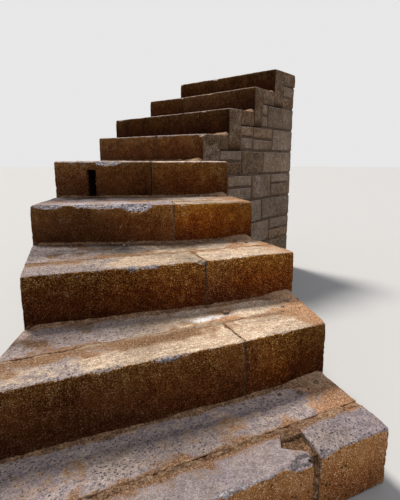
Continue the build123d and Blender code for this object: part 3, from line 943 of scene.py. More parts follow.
        # the arris in colour: ragged, with the dark of the face biting into the top
        reach = np.minimum.reduce([v0[:, 1], ends + 2.0, deep - v0[:, 1] + 2.0]) - (high - v0[:, 2])
        bite = 2.0 + 4.6 * fbm(v0 + seed * 31.0, 26, 2, seed + 30) + 4.8 * fbm(v0 + seed * 31.0, 11, 2, seed + 31)
        bite -= {1: 4.5, 5: 6.5}.get(step, 3.5 if step > 5 else 0.0)
        if step in (2, 3):
            ragged = fbm(v0 + seed * 17.0, 19, 2, seed + 33)
            bite += 13.0 * step_up(ragged, 0.10, 0.55) * step_up(v0[:, 0] / run, 0.75 if side == "left" else -0.2, 1.0 if side == "left" else 0.1)
        bite += 6.0 * step_up(small, 0.6, 3.0) - 16.0 * step_up(chip, 1.0, 6.0)
        over = step_up(reach - bite, -1.6, 1.6)
        facing = step_up(-s.n[:, 1], 0.4, 0.9)
        dirt = 0.80 * np.exp(-np.maximum(foot, 0) / (10 + 8 * n2)) * facing
        dirt += up * 0.95 * np.exp(-np.maximum(deep - v0[:, 1], 0) / (10 + (46 if step == 1 else 85) * np.clip(n2 + 0.6 * n1 + 0.12, 0, 1)))
        dirt += 0.34 * np.exp(-ends / 6) * (0.4 + 0.6 * up) * (0.5 + 0.9 * patchy)
        dirt += up * (0.14 + 0.30 * n2 + 0.15 * n1)
        gained = spots(step, side, x, v0[:, 1] / deep, 0.8 * n1 + 0.6 * n2)
        dirt += up * gained[1]
        worn = np.maximum(worn, 0) + over * gained[2] * (0.4 + 0.8 * patchy)
        if side == "right" and step <= 5:
            dirt += up * 0.72 * step_up(x + 0.12 * n2, 0.55, 1.05) * (step > 1)
        if step == 2 and side == "left":
            dirt += up * 0.50 * step_up(v0[:, 1] / deep + 0.25 * n1, 0.40, 0.95) * (1 - step_up(x + 0.2 * n2, 0.72, 1.0))
        if step == 1 and side == "left":
            dirt += up * 0.40 * step_up(v0[:, 1] / deep + 0.30 * n1, 0.40, 1.0) * (1 - step_up(x + 0.12 * n2, 0.76, 0.92))
        sides = step_up(np.abs(s.n[:, 0]), 0.5, 0.9)
        grime = (1 - up) * (0.34 * (1 - step_up(foot, 0, 70)) * (1 - sides) + 0.06 + 0.30 * n2 + 0.12 * n1)
        stain = np.zeros(len(x))
        for st, which, c, hw, strength in STAIN:
            if st == step and which == side:
                e = ((x - c) / hw) ** 2 + ((foot - 0.55 * (top - below)) / (0.75 * (top - below))) ** 2
                stain = np.maximum(stain, strength * (1 - step_up(e, 0.15, 1.2)))
        tone = FACE_TONE[k] * (1 - over) + TOP_TONE[k] * over + 0.05 * n2
        tone *= 1 + over * gained[0]
        # painted light and shade along the fronts, partly damp and dry stone
        if (step, side) in FRONT:
            at, gain = FRONT[(step, side)]
            tone *= 1 - (1 - over) * facing * (1 - np.interp(x + 0.08 * n2, at, gain))
        # the fronts fall off towards their far ends
        if side == "right":
            tone -= (1 - over) * FACE_TONE[k] * 0.25 * step_up(x, 0.72, 1.0) * (step not in (1, 2, 3, 4))
        # inside the hole the stone is painted near black and grimy: painted shade in the recess
        if step == 5 and side == "left":
            grime = np.where(depth > 0, 1.0, grime)
            tone = np.where(depth > 0, 0.1, tone)
        dusty = DUST_STONE.get((step, side), DUST[k])
        mauve = (MAUVE[k] * over + np.maximum(dusty, 0.20 * sides) * (1 - over)) * (0.85 + 0.5 * n2)
        worn = np.maximum(worn * (1 - 0.6 * sides), sides * 0.12 * step_up(n2 + 0.7 * n1, -0.1, 0.6))
        tone = tone + sides * (1 - over) * np.maximum(0.44 + 0.10 * n1 - FACE_TONE[k], -0.12)
        grime = grime + sides * (0.10 + 0.4 * n2)
        stain = stain * (1 - 0.8 * sides)
        over = np.maximum(over, sides * (0.22 + 0.35 * n2 + 0.30 * n1))
        rise = np.clip(foot / (top - below), 0, 1) * (1 - sides) + 0.6 * sides + 0.05 * n2
        film = SAND_NOSE[k] + 0.45 * n2 + 0.2 * n1 - 0.25 * np.exp(-v0[:, 1] / 12) - 0.8 * sides
        if step == 4:
            film += -0.45 + 0.55 * step_up(v0[:, 1] + 60 * n1, 50, 130) if side == "left" else 0.35
            if side == "left":
                mauve = np.maximum(mauve, over * (0.85 + 0.6 * n1))
        # left parts of the riser stones' tops greyer, cooler, less sandy and darker: partly damp stone, partly painted
        # shade
        if side == "left" and 1 < step < 4:
            damp_and_shade_left = (1 - step_up(x + 0.16 * n2 + 0.06 * n1, 0.22, 0.60)) * over * (1 - sides)
            mauve = mauve + 0.50 * damp_and_shade_left
            film = film - 0.36 * damp_and_shade_left
            tone = tone * (1 - 0.18 * damp_and_shade_left)
        red = (0.25 if side == "left" else 0.35) + 0.6 * (side == "right") * step_up(x, 0.5, 1.0)
        masks = {
            "m1": [worn, dirt, grime, mauve],
            "m2": [up, stain, tone, film],
            "m3": [rise, over, red * np.ones(len(x)), 0 * x],
            "m4": [sides * (0.80 + 0.3 * n2), ((step, side) == (1, "left")) * np.clip(0.62 - 0.5 * n2 - 0.6 * n1, 0, 0.9),
                   (1 - sides) * np.clip(CALM[k] + 0.35 * n2, 0, 0.8)],
            "loc": own_places(v0, seed),
        }
        name = f"step{step}_riser_{side}"
        o = build("stone_" + name, s.p, s.loops, s.counts, masks, riser_mat)
        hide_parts(name)
        made[name] = o

# ------------------------------------------------------------------ tread slabs
for k in range(N):
    step, top = k + 1, LEVEL[k]
    BL, BR = bed_left[k], bed_right[k]
    if k + 1 < N:
        nl, nm, nr = NOSE[k + 1]
        ring = inset([BL, BR, nr, nm, nl], [BED_JOINT[k], 0, FOOT_JOINT, FOOT_JOINT, 0])
        patch = Patch(front=[ring[0], ring[1]], back=[ring[4], ring[3], ring[2]])
        back_line = [ring[4], ring[3], ring[2]]
    else:
        ring = inset([BL, BR, rights[N], lefts[N]], [BED_JOINT[k], 0, 0, 0])
        patch = Patch(front=[ring[0], ring[1]], back=[ring[3], ring[2]])
        back_line = [ring[3], ring[2]]
    front = [ring[0], ring[1]]
    run = (length_of(front) + length_of(back_line)) / 2
    deep = (dist(front[0], back_line[0]) + dist(front[-1], back_line[-1])) / 2
    seed = 300 + 10 * step
    mid = (7.0 if step < 5 else 8.0) * FINE
    gs = spaced(run, mid, 3.5 * FINE, 12)
    gb = spaced(deep, mid, 3.5 * FINE, 10)
    gc = np.array([0, 30, 60, 80, 90, 95, 98, 100.0])
    last = k + 1 == N
    grid = box_grid(gs, gb, gc, plain_back=None if last else 80)

    def radius(v, seed=seed, last=last, deep=deep):
        r = np.full(len(v), 4.5)
        if last:
            r += 8 * (1 - step_up(np.hypot(deep - v[:, 1], 100 - v[:, 2]), 14, 40))
        return r

    s = Piece(patch, (run, deep, 100.0), top - TREAD_THICK, grid, radius)
    v0 = s.v.copy()
    s.push(weather(s, seed, 0.8, 0.95))
    x, y = v0[:, 0] / run, v0[:, 1] / deep
    up = step_up(s.n[:, 2], 0.25, 0.75)
    # worn hollow in the middle
    hollow = 4.0 * np.exp(-(((x - 0.52) / 0.30) ** 2)) * np.exp(-(((y - 0.35) / 0.55) ** 2))
    s.p[:, 2] -= hollow * up
    n1 = fbm(s.p, 52, 3, seed + 20)
    n2 = fbm(s.p, 150, 2, seed + 21)
    n3 = fbm(s.p, 26, 3, seed + 22)
    to_foot = deep - v0[:, 1]
    if last:
        dirt = np.zeros(len(x))
    else:
        dirt = up * 0.85 * np.exp(-to_foot / (20 + 30 * np.clip(n2 + 0.3, 0, 1)))
    dirt += up * 0.90 * np.exp(-v0[:, 1] / (7 + 52 * np.clip(n2 + 0.5 * n1 + 0.15, 0, 1)))
    dirt += up * (0.20 + 0.45 * n2 + 0.30 * n1)
    # less soil at the back of treads 1 and 2, so that it is brighter there: partly painted light against the shadow of
    # the riser above
    if step in (1, 2):
        dirt *= 1 - 0.55 * step_up(y, 0.55, 0.8) * (1 - step_up(x, 0.75, 0.95))
    gained = spots(step, "tread", x, y, 0.8 * n1 + 0.6 * n2)
    dirt += up * gained[1]
    dirt += up * 0.85 * step_up(x + 0.14 * n2, 0.70 if step == 2 else 0.78, 1.0) * (0.45 + 0.55 * y)
    dirt += (1 - up) * (0.25 + 0.2 * n1)
    grime = (1 - up) * 0.45 + up * (0.34 * step_up(n2, 0.0, 0.6) * (1 - x) + (0.10 if step < 3 else 0.30) * (1 - step_up(to_foot, 10, 90)) * (0.5 + n2))
    worn = up * 0.30 * step_up(n1 + 0.4 * n3, 0.15, 0.7)
    stain = up * 0.2
    over = up + (1 - up) * (0.22 + 0.35 * n2 + 0.30 * n1)
    tone = 0.45 * (1 - up) + (TOP_TONE[k] + 0.05 * n2) * up * (1 + gained[0])
    mauve = MAUVE[k] * up * (0.75 + 0.6 * n2) + (1 - up) * 0.15
    bare = (1 - up) * (0.80 + 0.3 * n2)
    film = SAND_TREAD[k] + 0.55 * n2 + 0.2 * n1 - 0.8 * (1 - up)
    # left parts of the tread darker: partly damp stone, partly painted shade
    if step in DAMP_AND_SHADE:
        much, x0, x1 = DAMP_AND_SHADE[step]
        tone *= 1 - much * up * (1 - step_up(x + 0.15 * n2, x0, x1)) * step_up(y + 0.2 * n1, 0.05, 0.50)
    # the backs of treads 1 to 4 painted brighter: painted light against the shadow that the riser above casts
    if step < 5:
        tone *= 1 + (0.95, 0.72, 0.30, 0.30)[k] * up * step_up(y + 0.06 * n1, 0.50, 0.85)
    # left parts of the tread greyer, cooler, less sandy and darker: partly damp stone, partly painted shade
    damp_and_shade_left = (1 - step_up(x + 0.16 * n2 + 0.06 * n1, 0.20, 0.52)) * up * (0 if step == 1 else 1 if step < 5 else np.clip(0.30 + 0.9 * n1, 0, 0.6))
    mauve = mauve + 0.55 * damp_and_shade_left
    film = film - 0.42 * damp_and_shade_left
    tone = tone * (1 - 0.16 * damp_and_shade_left)
    patches = step_up(n2 + 0.6 * n1, -0.20, 0.30)
    # treads 2 to 4 less sandy, dirtier and darker behind their front edge: partly soil, partly painted shade
    if 1 < step < 5:
        film -= (0.40 if step == 2 else 0.62) * step_up(y, 0.10, 0.75) * (0.55 + 0.45 * patches)
        dirt += up * 0.30 * patches * step_up(y, 0.0, 0.35)
        tone -= up * (0.07 + 0.10 * patches) * step_up(y, 0.0, 0.45)
    red = 0.30 + 0.65 * step_up(x + 0.1 * n2, 0.55, 0.9)
    smear = 0 * x
    if step == 2:
        smear = 0.80 * np.exp(-(((x - 0.655) / 0.085) ** 2) - (((y - 0.34) / 0.16) ** 2)) + 0.45 * np.exp(-(((x - 0.56) / 0.10) ** 2) - (((y - 0.30) / 0.15) ** 2))
    masks = {
        "m1": [worn, dirt, grime, mauve],
        "m2": [up, stain, tone, film],
        "m3": [0.7 + 0 * x, over, red, smear],
        "m4": [bare, 0 * x],
        "loc": own_places(v0, seed),
    }
    name = "step5_landing_slab" if step == 5 else f"step{step}_tread_slab"
    o = build("stone_" + name, s.p, s.loops, s.counts, masks, tread_mat)
    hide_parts(name)
    made[name] = o

# ------------------------------------------------------------------ base: core and coursed facing blocks
COURSE = [0] + [z - TREAD_THICK for z in LEVEL]
RECESS = 17.0
MORTAR = 10.0


def wall_points(side):
    """The side line of the flight in plan, from the front to the back, and which base each stretch belongs to."""
    bed, edge = (bed_right, rights) if side == "right" else (bed_left, lefts)
    pts, owner = [bed[0]], []
    for k in range(N):
        pts.append(edge[k + 1])
        owner.append((k, "edge"))
        if k + 1 < N:
            pts.append(bed[k + 1])
            owner.append((k, "bed"))
    return pts, owner


def facing_block(path_pts, s0, s1, z0, z1, seed, out_side):
    """One block between distances s0 and s1 along a line in plan; out_side is +1 if outward is to the right of it."""
    total = length_of(path_pts)
    run, high, deep = s1 - s0, z1 - z0, 75.0
    res = 13.0 * FINE
    gs = spaced(run, res, 4.5, 13.5)
    gc = spaced(high, res, 4.5, 13.5)
    gb = np.array([0, 3.5, 8, 20, deep])
    grid = box_grid(gs, gb, gc, plain_back=high)
    v, loops, counts = grid
    r = np.clip(9.0 + 6.0 * fbm(v + seed * 13.0, 60, 2, seed), 4.5, 18)[:, None]
    size = np.array([run, deep, high])
    q = np.clip(v, r, size - r)
    d = v - q
    n = d / np.maximum(np.linalg.norm(d, axis=1), 1e-9)[:, None]
    v2 = q + n * r
    f = (s0 + v2[:, 0]) / total
    e = 12.0 / total
    at = along_path(path_pts, np.clip(f, 0, 1))
    over = (f - np.clip(f, 0, 1)) * total
    ahead = along_path(path_pts, np.clip(f + e, 0, 1)) - along_path(path_pts, np.clip(f - e, 0, 1))
    ahead /= np.maximum(np.linalg.norm(ahead, axis=1), 1e-9)[:, None]
    at = at + ahead * over[:, None]
    outv = np.column_stack([ahead[:, 1], -ahead[:, 0]]) * out_side
    xy = at - outv * v2[:, 1:2]
    p = np.column_stack([xy, z0 + v2[:, 2]])
    nw = ahead * n[:, :1] - outv * n[:, 1:2]
    nw = np.column_stack([nw, n[:, 2]])
    off = p + seed * 19.3
    face = step_up(-n[:, 1], 0.2, 0.9)
    disp = 4.5 * fbm(off, 120, 2, seed) + 3.6 * fbm(off, 48, 3, seed + 1) + 1.5 * fbm(off, 18, 3, seed + 2)
    near, tag = cells(off, 34, seed + 3)
    disp -= 3.4 * (1 - step_up(near, 0.08, 0.40)) * (tag > 0.55)
    near, tag = cells(off, 90, seed + 4)
    disp -= 3.0 * step_up(tag, 0.3, 0.9)
    rs = np.random.RandomState(seed)
    lean = rs.uniform(-2.5, 2.5) * (v2[:, 0] / run - 0.5) + rs.uniform(-2.0, 2.0) * (v2[:, 2] / high - 0.5)
    to_edge = np.minimum(np.minimum(v2[:, 0], run - v2[:, 0]), np.minimum(v2[:, 2], high - v2[:, 2]))
    pillow = -6.0 * np.exp(-np.maximum(to_edge, 0) / 20)
    amount = disp * (0.45 + 0.55 * face) - 1.5 + (rs.uniform(-2.5, 1.5) + lean + pillow) * face
    amount -= 1.5 * (1 - face) * (1 + fbm(off, 70, 2, seed + 6))
    p = p + nw * np.minimum(amount, 4.5)[:, None]
    if out_side < 0:
        loops = loops.copy()
        starts = np.concatenate([[0], np.cumsum(counts)])
        quads = counts == 4
        idx = starts[:-1][quads][:, None] + np.arange(4)
        loops[idx] = loops[idx[:, ::-1]]
        for i in np.where(~quads)[0]:
            loops[starts[i] : starts[i + 1]] = loops[starts[i] : starts[i + 1]][::-1]
    n1 = fbm(p, 60, 3, seed + 20)
    n2 = fbm(p, 190, 2, seed + 21)
    edge = np.minimum(np.minimum(v2[:, 0], run - v2[:, 0]), np.minimum(v2[:, 2], high - v2[:, 2]))
    up = step_up(n[:, 2], 0.3, 0.8)
    worn = 0.22 * np.exp(-((edge / 8) ** 2)) * (0.7 + n1) + 0.55 * step_up(n2 + 0.6 * n1, 0.25, 0.8)
    dirt = 0.40 * np.exp(-edge / 5) + 0.12 + 0.40 * n2 + 0.5 * np.exp(-np.maximum(p[:, 2], 0) / 35)
    grime = 0.12 + 0.40 * n2 + 0.30 * (1 - step_up(p[:, 2], 20, 320))
    stain = 0.10 + 0.3 * n1
    tone = np.full(len(p), 0.50 + rs.uniform(-0.13, 0.13)) + 0.05 * n2
    one = np.ones(len(p))
    return p, loops, counts, {
        "m1": [worn, dirt, grime, rs.uniform(0.0, 1.0) * one],
        "m2": [up, stain, tone, 0.2 * one],
        "m3": [0.62 + 0.3 * n2, up * 0.6, 0.15 * one, 0 * one],
        "loc": own_places(v2, seed),
    }


blocks = {k: [] for k in range(N)}
for side, out_side in (("right", 1), ("left", -1)):
    pts, owner = wall_points(side)
    cum = np.concatenate([[0], np.cumsum([dist(a, b) for a, b in zip(pts, pts[1:])])])
    # where the line turns: at the riser ends
    turns = [cum[1 + 2 * k] for k in range(N - 1)]
    beds = [cum[2 + 2 * k] for k in range(N - 1)]
    for c in range(N):
        z0, z1 = COURSE[c], COURSE[c + 1]
        start = 0.0 if c == 0 else beds[c - 1]
        end = cum[-1]
        cuts = [start]
        marks = [t for t in turns if t > start + 60]
        if c % 2:
            shift = 0.46
            marks2 = []
            for i, t in enumerate(marks):
                prev = marks[i - 1] if i else start
                sharp = (side == "right" and abs(t - turns[4]) < 1) or (side == "left" and abs(t - turns[4]) < 1)
                marks2.append(t if sharp else prev + (t - prev) * (1 - shift))
            marks = marks2
        cuts += marks + [end]
        fine = []
        rs = np.random.RandomState(700 + 31 * c + (side == "left"))
        for a, b in zip(cuts, cuts[1:]):
            n = max(1, int(round((b - a) / 480)))
            for i in range(n):
                x = a + (b - a) * i / n
                if i:
                    x += rs.uniform(-35, 35)
                fine.append(x)
        fine.append(end)
        fine = [x for i, x in enumerate(fine) if i in (0, len(fine) - 1) or (x - fine[i - 1] > 60 and fine[-1] - x > 110)]
        for i, (a, b) in enumerate(zip(fine, fine[1:])):
            seed = 1000 + 97 * c + 7 * i + (500 if side == "left" else 0)
            centre = (a + b) / 2
            k = int(np.searchsorted(beds, centre))
            k = max(k, c)
            low = z0 + (MORTAR / 2 if c else 0)
            high = z1 - MORTAR / 2
            if c and b - a < 420 and rs.rand() < 0.30:
                split = low + (high - low) * rs.uniform(0.42, 0.58)
                blocks[k].append(facing_block(pts, a + MORTAR / 2, b - MORTAR / 2, low, split - MORTAR / 2, seed, out_side))
                blocks[k].append(facing_block(pts, a + MORTAR / 2, b - MORTAR / 2, split + MORTAR / 2, high, seed + 3, out_side))
            else:
                blocks[k].append(facing_block(pts, a + MORTAR / 2, b - MORTAR / 2, low, high, seed, out_side))
# back wall, from right to left
back = [rights[N], lefts[N]]
total = length_of(back)
for c in range(N):
    n = 3 if c % 2 else 2
    cuts = np.linspace(0, total, n + 1)
    if c % 2:
        cuts = np.array([0, total * 0.22, total * 0.62, total])
    else:
        cuts = np.array([0, total * 0.42, total * 0.80, total])
    for i, (a, b) in enumerate(zip(cuts, cuts[1:])):
        z0, z1 = COURSE[c], COURSE[c + 1]
        low = z0 + (MORTAR / 2 if c else 0)
        blocks[N - 1].append(facing_block(back, a + (MORTAR / 2 if i else 2), b - (MORTAR / 2 if i < 2 else 2), low, z1 - MORTAR / 2, 3000 + 10 * c + i, 1))

for k in range(N):
    step = k + 1
    BL, BR = bed_left[k], bed_right[k]
    high = LEVEL[k] - TREAD_THICK
    if k + 1 < N:
        ringp = [BL, BR, rights[k + 1], bed_right[k + 1], bed_left[k + 1], lefts[k + 1]]
        ringp = inset(ringp, [0, RECESS, RECESS, 0, RECESS, RECESS])
        patch = Patch(left=[ringp[0], ringp[5], ringp[4]], right=[ringp[1], ringp[2], ringp[3]])
        run, deep = dist(BL, BR), length_of([BL, lefts[k + 1], bed_left[k + 1]])
    else:
        ringp = inset([BL, BR, rights[N], lefts[N]], [0, RECESS * 0.6, RECESS * 0.6, RECESS * 0.6])
        patch = Patch(left=[ringp[0], ringp[3]], right=[ringp[1], ringp[2]])
        run, deep = dist(BL, BR), dist(BL, lefts[N])
    gs, gb, gc = spaced(run, 60), spaced(deep, 16 * FINE), spaced(high, 16 * FINE)
    last = k + 1 == N
    if last:
        gs = spaced(run, 16 * FINE)
    grid = box_grid(gs, gb, gc, plain_back=None if last else high, plain_front=True, plain_top=True)
    s = Piece(patch, (run, deep, high), 0.0, grid, 1.0)
    amt = 3.0 * fbm(s.p, 26, 3, 80 + k) + 1.5 * fbm(s.p, 9, 2, 90 + k)
    amt *= 1 - np.abs(s.n[:, 2])
    s.push(amt - 0.5)
    n2 = fbm(s.p, 90, 3, 60 + k)
    one = np.ones(len(s.p))
    masks = {
        "m1": [0.05 * one, 0.45 + 0.3 * n2, 0.45 + 0.3 * n2, 0.9 * one],
        "m2": [0 * one, 0.05 * one, 0.36 * one, 0 * one],
        "m3": [0.3 * one, 0 * one, 0.05 * one, 0 * one],
        "loc": own_places(s.p, 40 + k),
    }
    parts = [(s.p, s.loops, s.counts, masks)] + blocks[k]
    p, loops, counts, masks = joined(parts)
    name = f"step{step}_base"
    o = build("masonry_" + name, p, loops, counts, masks, wall_mat)
    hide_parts(name)
    made[name] = o

# ------------------------------------------------------------------ soil in the joints
for k in range(N):
    step, top = k + 1, LEVEL[k]
    below = LEVEL[k - 1] if k else 0
    a, b, c, d = joint_quads[k]
    # upright joint between the two riser stones
    wide = max(dist(a, b), 6) + 3 if step > 1 else 95
    deep, high = (dist(a, d) + dist(b, c)) / 2, top - below - 4
    parts = []
    gs = spaced(wide, 3.5)
    gb = spaced(deep, 7)
    gc = spaced(high, 7)
    ax = unit(sub(b, a))
    inn = unit(sub(add(d, sub(c, d), 0.5), add(a, sub(b, a), 0.5)))
    back_off = 4 if step == 1 else 2.5
    q = [add(add(a, ax, -1.5), inn, back_off), add(add(b, ax, 1.5), inn, back_off), add(c, ax, 1.5), add(d, ax, -1.5 if step > 1 else -80)]
    s = Piece(Patch(front=[q[0], q[1]], back=[q[3], q[2]]), (wide, deep, high), below, box_grid(gs, gb, gc, plain_back=high), 1.5)
    v0 = s.v.copy()
    front = step_up(-s.n[:, 1], 0.3, 0.9)
    up = step_up(s.n[:, 2], 0.3, 0.9)
    n1 = fbm(s.p, 34, 3, 400 + k)
    n2 = fbm(s.p, 11, 2, 420 + k)
    n0 = fbm(s.p, 70, 2, 410 + k)
    s.p[:, 2] += up * (-15 + 13 * n0 + 9 * n1 + 4.5 * n2 if step == 1 else 0.4 + 4.5 * n1 + 2.6 * n2)
    shift = front * ((6.0 if step == 1 else 2.2) * n1 + (3.0 if step == 1 else 1.6) * n2) + (16 if step == 1 else 4) * front * step_up(v0[:, 2] / high, 0.75, 1.0)
    s.p[:, :2] += np.outer(shift, inn)
    low_part = front * (1 - step_up(v0[:, 2] / high, 0.55, 0.95)) * (step == 1)
    m = [0.25 + 0.3 * n1 + 0.25 * front - 0.25 * low_part, (0.05 if step == 1 else 0.65 + 0.9 * n1) * up, (0.30 if step < 5 else 0.17) + 0.22 * low_part + 0.12 * n1 + (0.05 if step == 1 else 0.16) * up - (0.02 if step == 1 else 0.10 if step > 4 else -0.06) * front]
    if 1 < step < 5:
        m[0] = m[0] + (0.12 if step < 4 else 0.45) * front
        m[2] = m[2] - {2: 0.20, 3: 0.17, 4: 0.06}[step] * front
    parts.append((s.p, s.loops, s.counts, {"m1": m, "loc": own_places(s.p, 11)}))

    # joint between the riser stones and the tread
    BL, BR = bed_left[k], bed_right[k]
    gap = BED_JOINT[k]
    run = dist(BL, BR)
    e = unit(sub(BR, BL))
    inn = left_of(e)
    spill = 15.0
    q = [add(add(BL, inn, -spill), e, 4), add(add(BR, inn, -spill), e, -4), add(add(BR, inn, gap + spill), e, -4), add(add(BL, inn, gap + spill), e, 4)]
    wide = gap + 2 * spill
    gs, gb = spaced(run - 8, (5.0 if step < 5 else 8.0) * FINE), spaced(wide, 4.0 if step < 5 else 5.5)
    high = 45.0
    s = Piece(Patch(front=[q[0], q[1]], back=[q[3], q[2]]), (run - 8, wide, high), top - high, box_grid(gs, gb, spaced(high, 15), plain_back=high, plain_front=True), 1.0)
    v0 = s.v.copy()
    up = step_up(s.n[:, 2], 0.3, 0.9)
    c = np.abs(v0[:, 1] / wide - 0.5) * 2
    n1 = fbm(s.p, 60, 3, 440 + k)
    n2 = fbm(s.p, 14, 3, 460 + k)
    n3 = fbm(s.p, 170, 2, 470 + k)
    low = -3.4 if step == 1 else -1.0
    s.p[:, 2] += up * (low + 6.5 * n3 + 7.5 * n1 + 3.2 * n2 - 7.5 * c * c)
    sandy = 0.55 if 1 < step < 6 else 0.16
    m = [(0.12 if step == 1 else 0.30) + 0.6 * step_up(v0[:, 0] / run, 0.55, 1.0) + 0.2 * n1, sandy + 0.9 * n1 + 0.6 * n2, 0.38 + 0.08 * (sandy > 0.3) + 0.12 * n2 + 0.06 * n3]
    parts.append((s.p, s.loops, s.counts, {"m1": m, "loc": own_places(s.p, 12)}))
    p, loops, counts, masks = joined(parts)
    build(f"soil_in_joints_{step}", p, loops, counts, masks, soil_mat)


# ------------------------------------------------------------------ soil washed against the foot of each riser
def height_sheet(p_top, grid_shape, keep, floor_z):
    """A closed shell over the kept cells of a grid of points, down to floor_z."""
    ni, nj = grid_shape
    ids = np.arange(ni * nj).reshape(ni, nj)
    q = np.stack([ids[:-1, :-1], ids[1:, :-1], ids[1:, 1:], ids[:-1, 1:]], -1)
    use = keep
    q = q[use]
    n = ni * nj
    bottom = p_top.copy()
    bottom[:, 2] = floor_z
    pts = np.concatenate([p_top, bottom])
    loops = [q.ravel(), (q[:, ::-1] + n).ravel()]
    counts = [np.full(len(q), 4), np.full(len(q), 4)]
    e = np.concatenate([q[:, [0, 1]], q[:, [1, 2]], q[:, [2, 3]], q[:, [3, 0]]])
    key = e[:, 0] * (2 * n) + e[:, 1]
    rev = e[:, 1] * (2 * n) + e[:, 0]
    rim = e[~np.isin(key, rev)]
    side = np.stack([rim[:, 1], rim[:, 0], rim[:, 0] + n, rim[:, 1] + n], 1)
    loops.append(side.ravel())
    counts.append(np.full(len(side), 4))
    return pts, np.concatenate(loops), np.concatenate(counts)


for k in range(N - 1):
    step, top = k + 1, LEVEL[k]
    foot = list(NOSE[k + 1])
    run = length_of(foot)
    e = unit(sub(foot[-1], foot[0]))
    out = (e[1], -e[0])
    reach = 150.0 if step != 5 else 190.0
    grit = 1.0 if step < 4 else 1.3
    xs, ys = np.arange(8, run - 6, 6.0 * grit * FINE), np.arange(-6, reach, 5.0 * grit * FINE)
    X, Y = np.meshgrid(xs, ys, indexing="ij")
    X, Y = X.ravel(), Y.ravel()
    at = along_path(foot, X / run) + np.outer(Y, out)
    p = np.column_stack([at, np.full(len(X), float(top))])
    u = X / run
    n1, n2, n3 = fbm(p, 120, 3, 500 + k), fbm(p, 34, 3, 520 + k), fbm(p, 11, 2, 540 + k)
    right = step_up(u, 0.80, 1.0) + (0.25 * step_up(0.1 - u, 0.0, 0.1))
    reach_here = 17 + 16 * n1 + 95 * right * (0.8 + 0.5 * n2)
    tall = 10 + 7 * n1 + 15 * right
    h = tall * np.clip(1 - np.maximum(Y, 0) / np.maximum(reach_here, 4), -1, 1)
    h = np.where(h > 0, tall * (h / np.maximum(tall, 1)) ** 1.25, h) + 3.0 * n2 + 1.6 * n3 - 2.0
    side_end = np.minimum(X - 8, run - 6 - X)
    h -= 14 * (1 - step_up(side_end, 0, 30))
    shape = (len(xs), len(ys))
    H = h.reshape(shape)
    keep = np.maximum.reduce([H[:-1, :-1], H[1:, :-1], H[1:, 1:], H[:-1, 1:]]) > 0.8
    p[:, 2] = top + np.maximum(h, -3.0)
    order = np.arange(len(p)).reshape(shape)[:, ::-1].ravel()  # keeps the faces outward
    p, h, n1, n2, right = p[order], h[order], n1[order], n2[order], right[order]
    keep = keep[:, ::-1]
    pts, loops, counts = height_sheet(p, shape, keep, top - 9.0)
    two = lambda a: np.concatenate([a, a])
    # the soil is paler on steps 1 and 2: partly the soil's own tone, partly painted light against the shadow of the
    # riser above
    m = [two(0.25 + 0.65 * right + 0.2 * n1), two(0.12 + 0.35 * right), two({1: 0.60, 2: 0.62, 3: 0.46, 4: 0.46}.get(step, 0.40) + 0.14 * n2 + 0.12 * right)]
    build(f"soil_at_foot_{step}", pts, loops, counts, {"m1": m, "loc": own_places(pts, 13)}, soil_mat)

# ------------------------------------------------------------------ crumbs of stone and soil
ico = bpy.data.meshes.new("ball")
import bmesh

bm = bmesh.new()
bmesh.ops.create_icosphere(bm, subdivisions=2, radius=1.0)
ball_v = np.array([v.co[:] for v in bm.verts])
ball_f = np.array([[v.index for v in f.verts] for f in bm.faces])
bm.free()
bm = bmesh.new()
bmesh.ops.create_icosphere(bm, subdivisions=3, radius=1.0)
big_v = np.array([v.co[:] for v in bm.verts])
big_f = np.array([[v.index for v in f.verts] for f in bm.faces])
bm.free()
bpy.data.meshes.remove(ico)
# pebbles: step -> place along the foot of the next riser, distance from it, radius, paleness
PEBBLES = {
    1: ((0.86, 60, 9, 0.6), (0.90, 95, 6, 0.9), (0.80, 38, 7, 0.2), (0.94, 40, 11, 0.4), (0.30, 22, 7, 0.3)),
    2: ((0.66, 92, 12, 0.5), (0.93, 70, 8, 0.7), (0.96, 36, 12, 0.3), (0.88, 120, 6, 0.9), (0.20, 30, 8, 0.2)),
    3: ((0.74, 42, 13, 0.6), (0.90, 60, 9, 0.2), (0.95, 92, 7, 0.8), (0.35, 24, 7, 0.4)),
    4: ((0.92, 50, 11, 0.5), (0.84, 26, 8, 0.3), (0.12, 40, 9, 0.6)),
    5: ((0.86, 70, 12, 0.5), (0.93, 130, 9, 0.3), (0.40, 60, 8, 0.6), (0.62, 35, 10, 0.2)),
    6: ((0.85, 40, 9, 0.4), (0.30, 50, 8, 0.6)),
    7: ((0.80, 45, 9, 0.5), (0.20, 40, 9, 0.3)),
    8: ((0.75, 50, 10, 0.4), (0.15, 60, 8, 0.6)),
}
rs = np.random.RandomState(77)
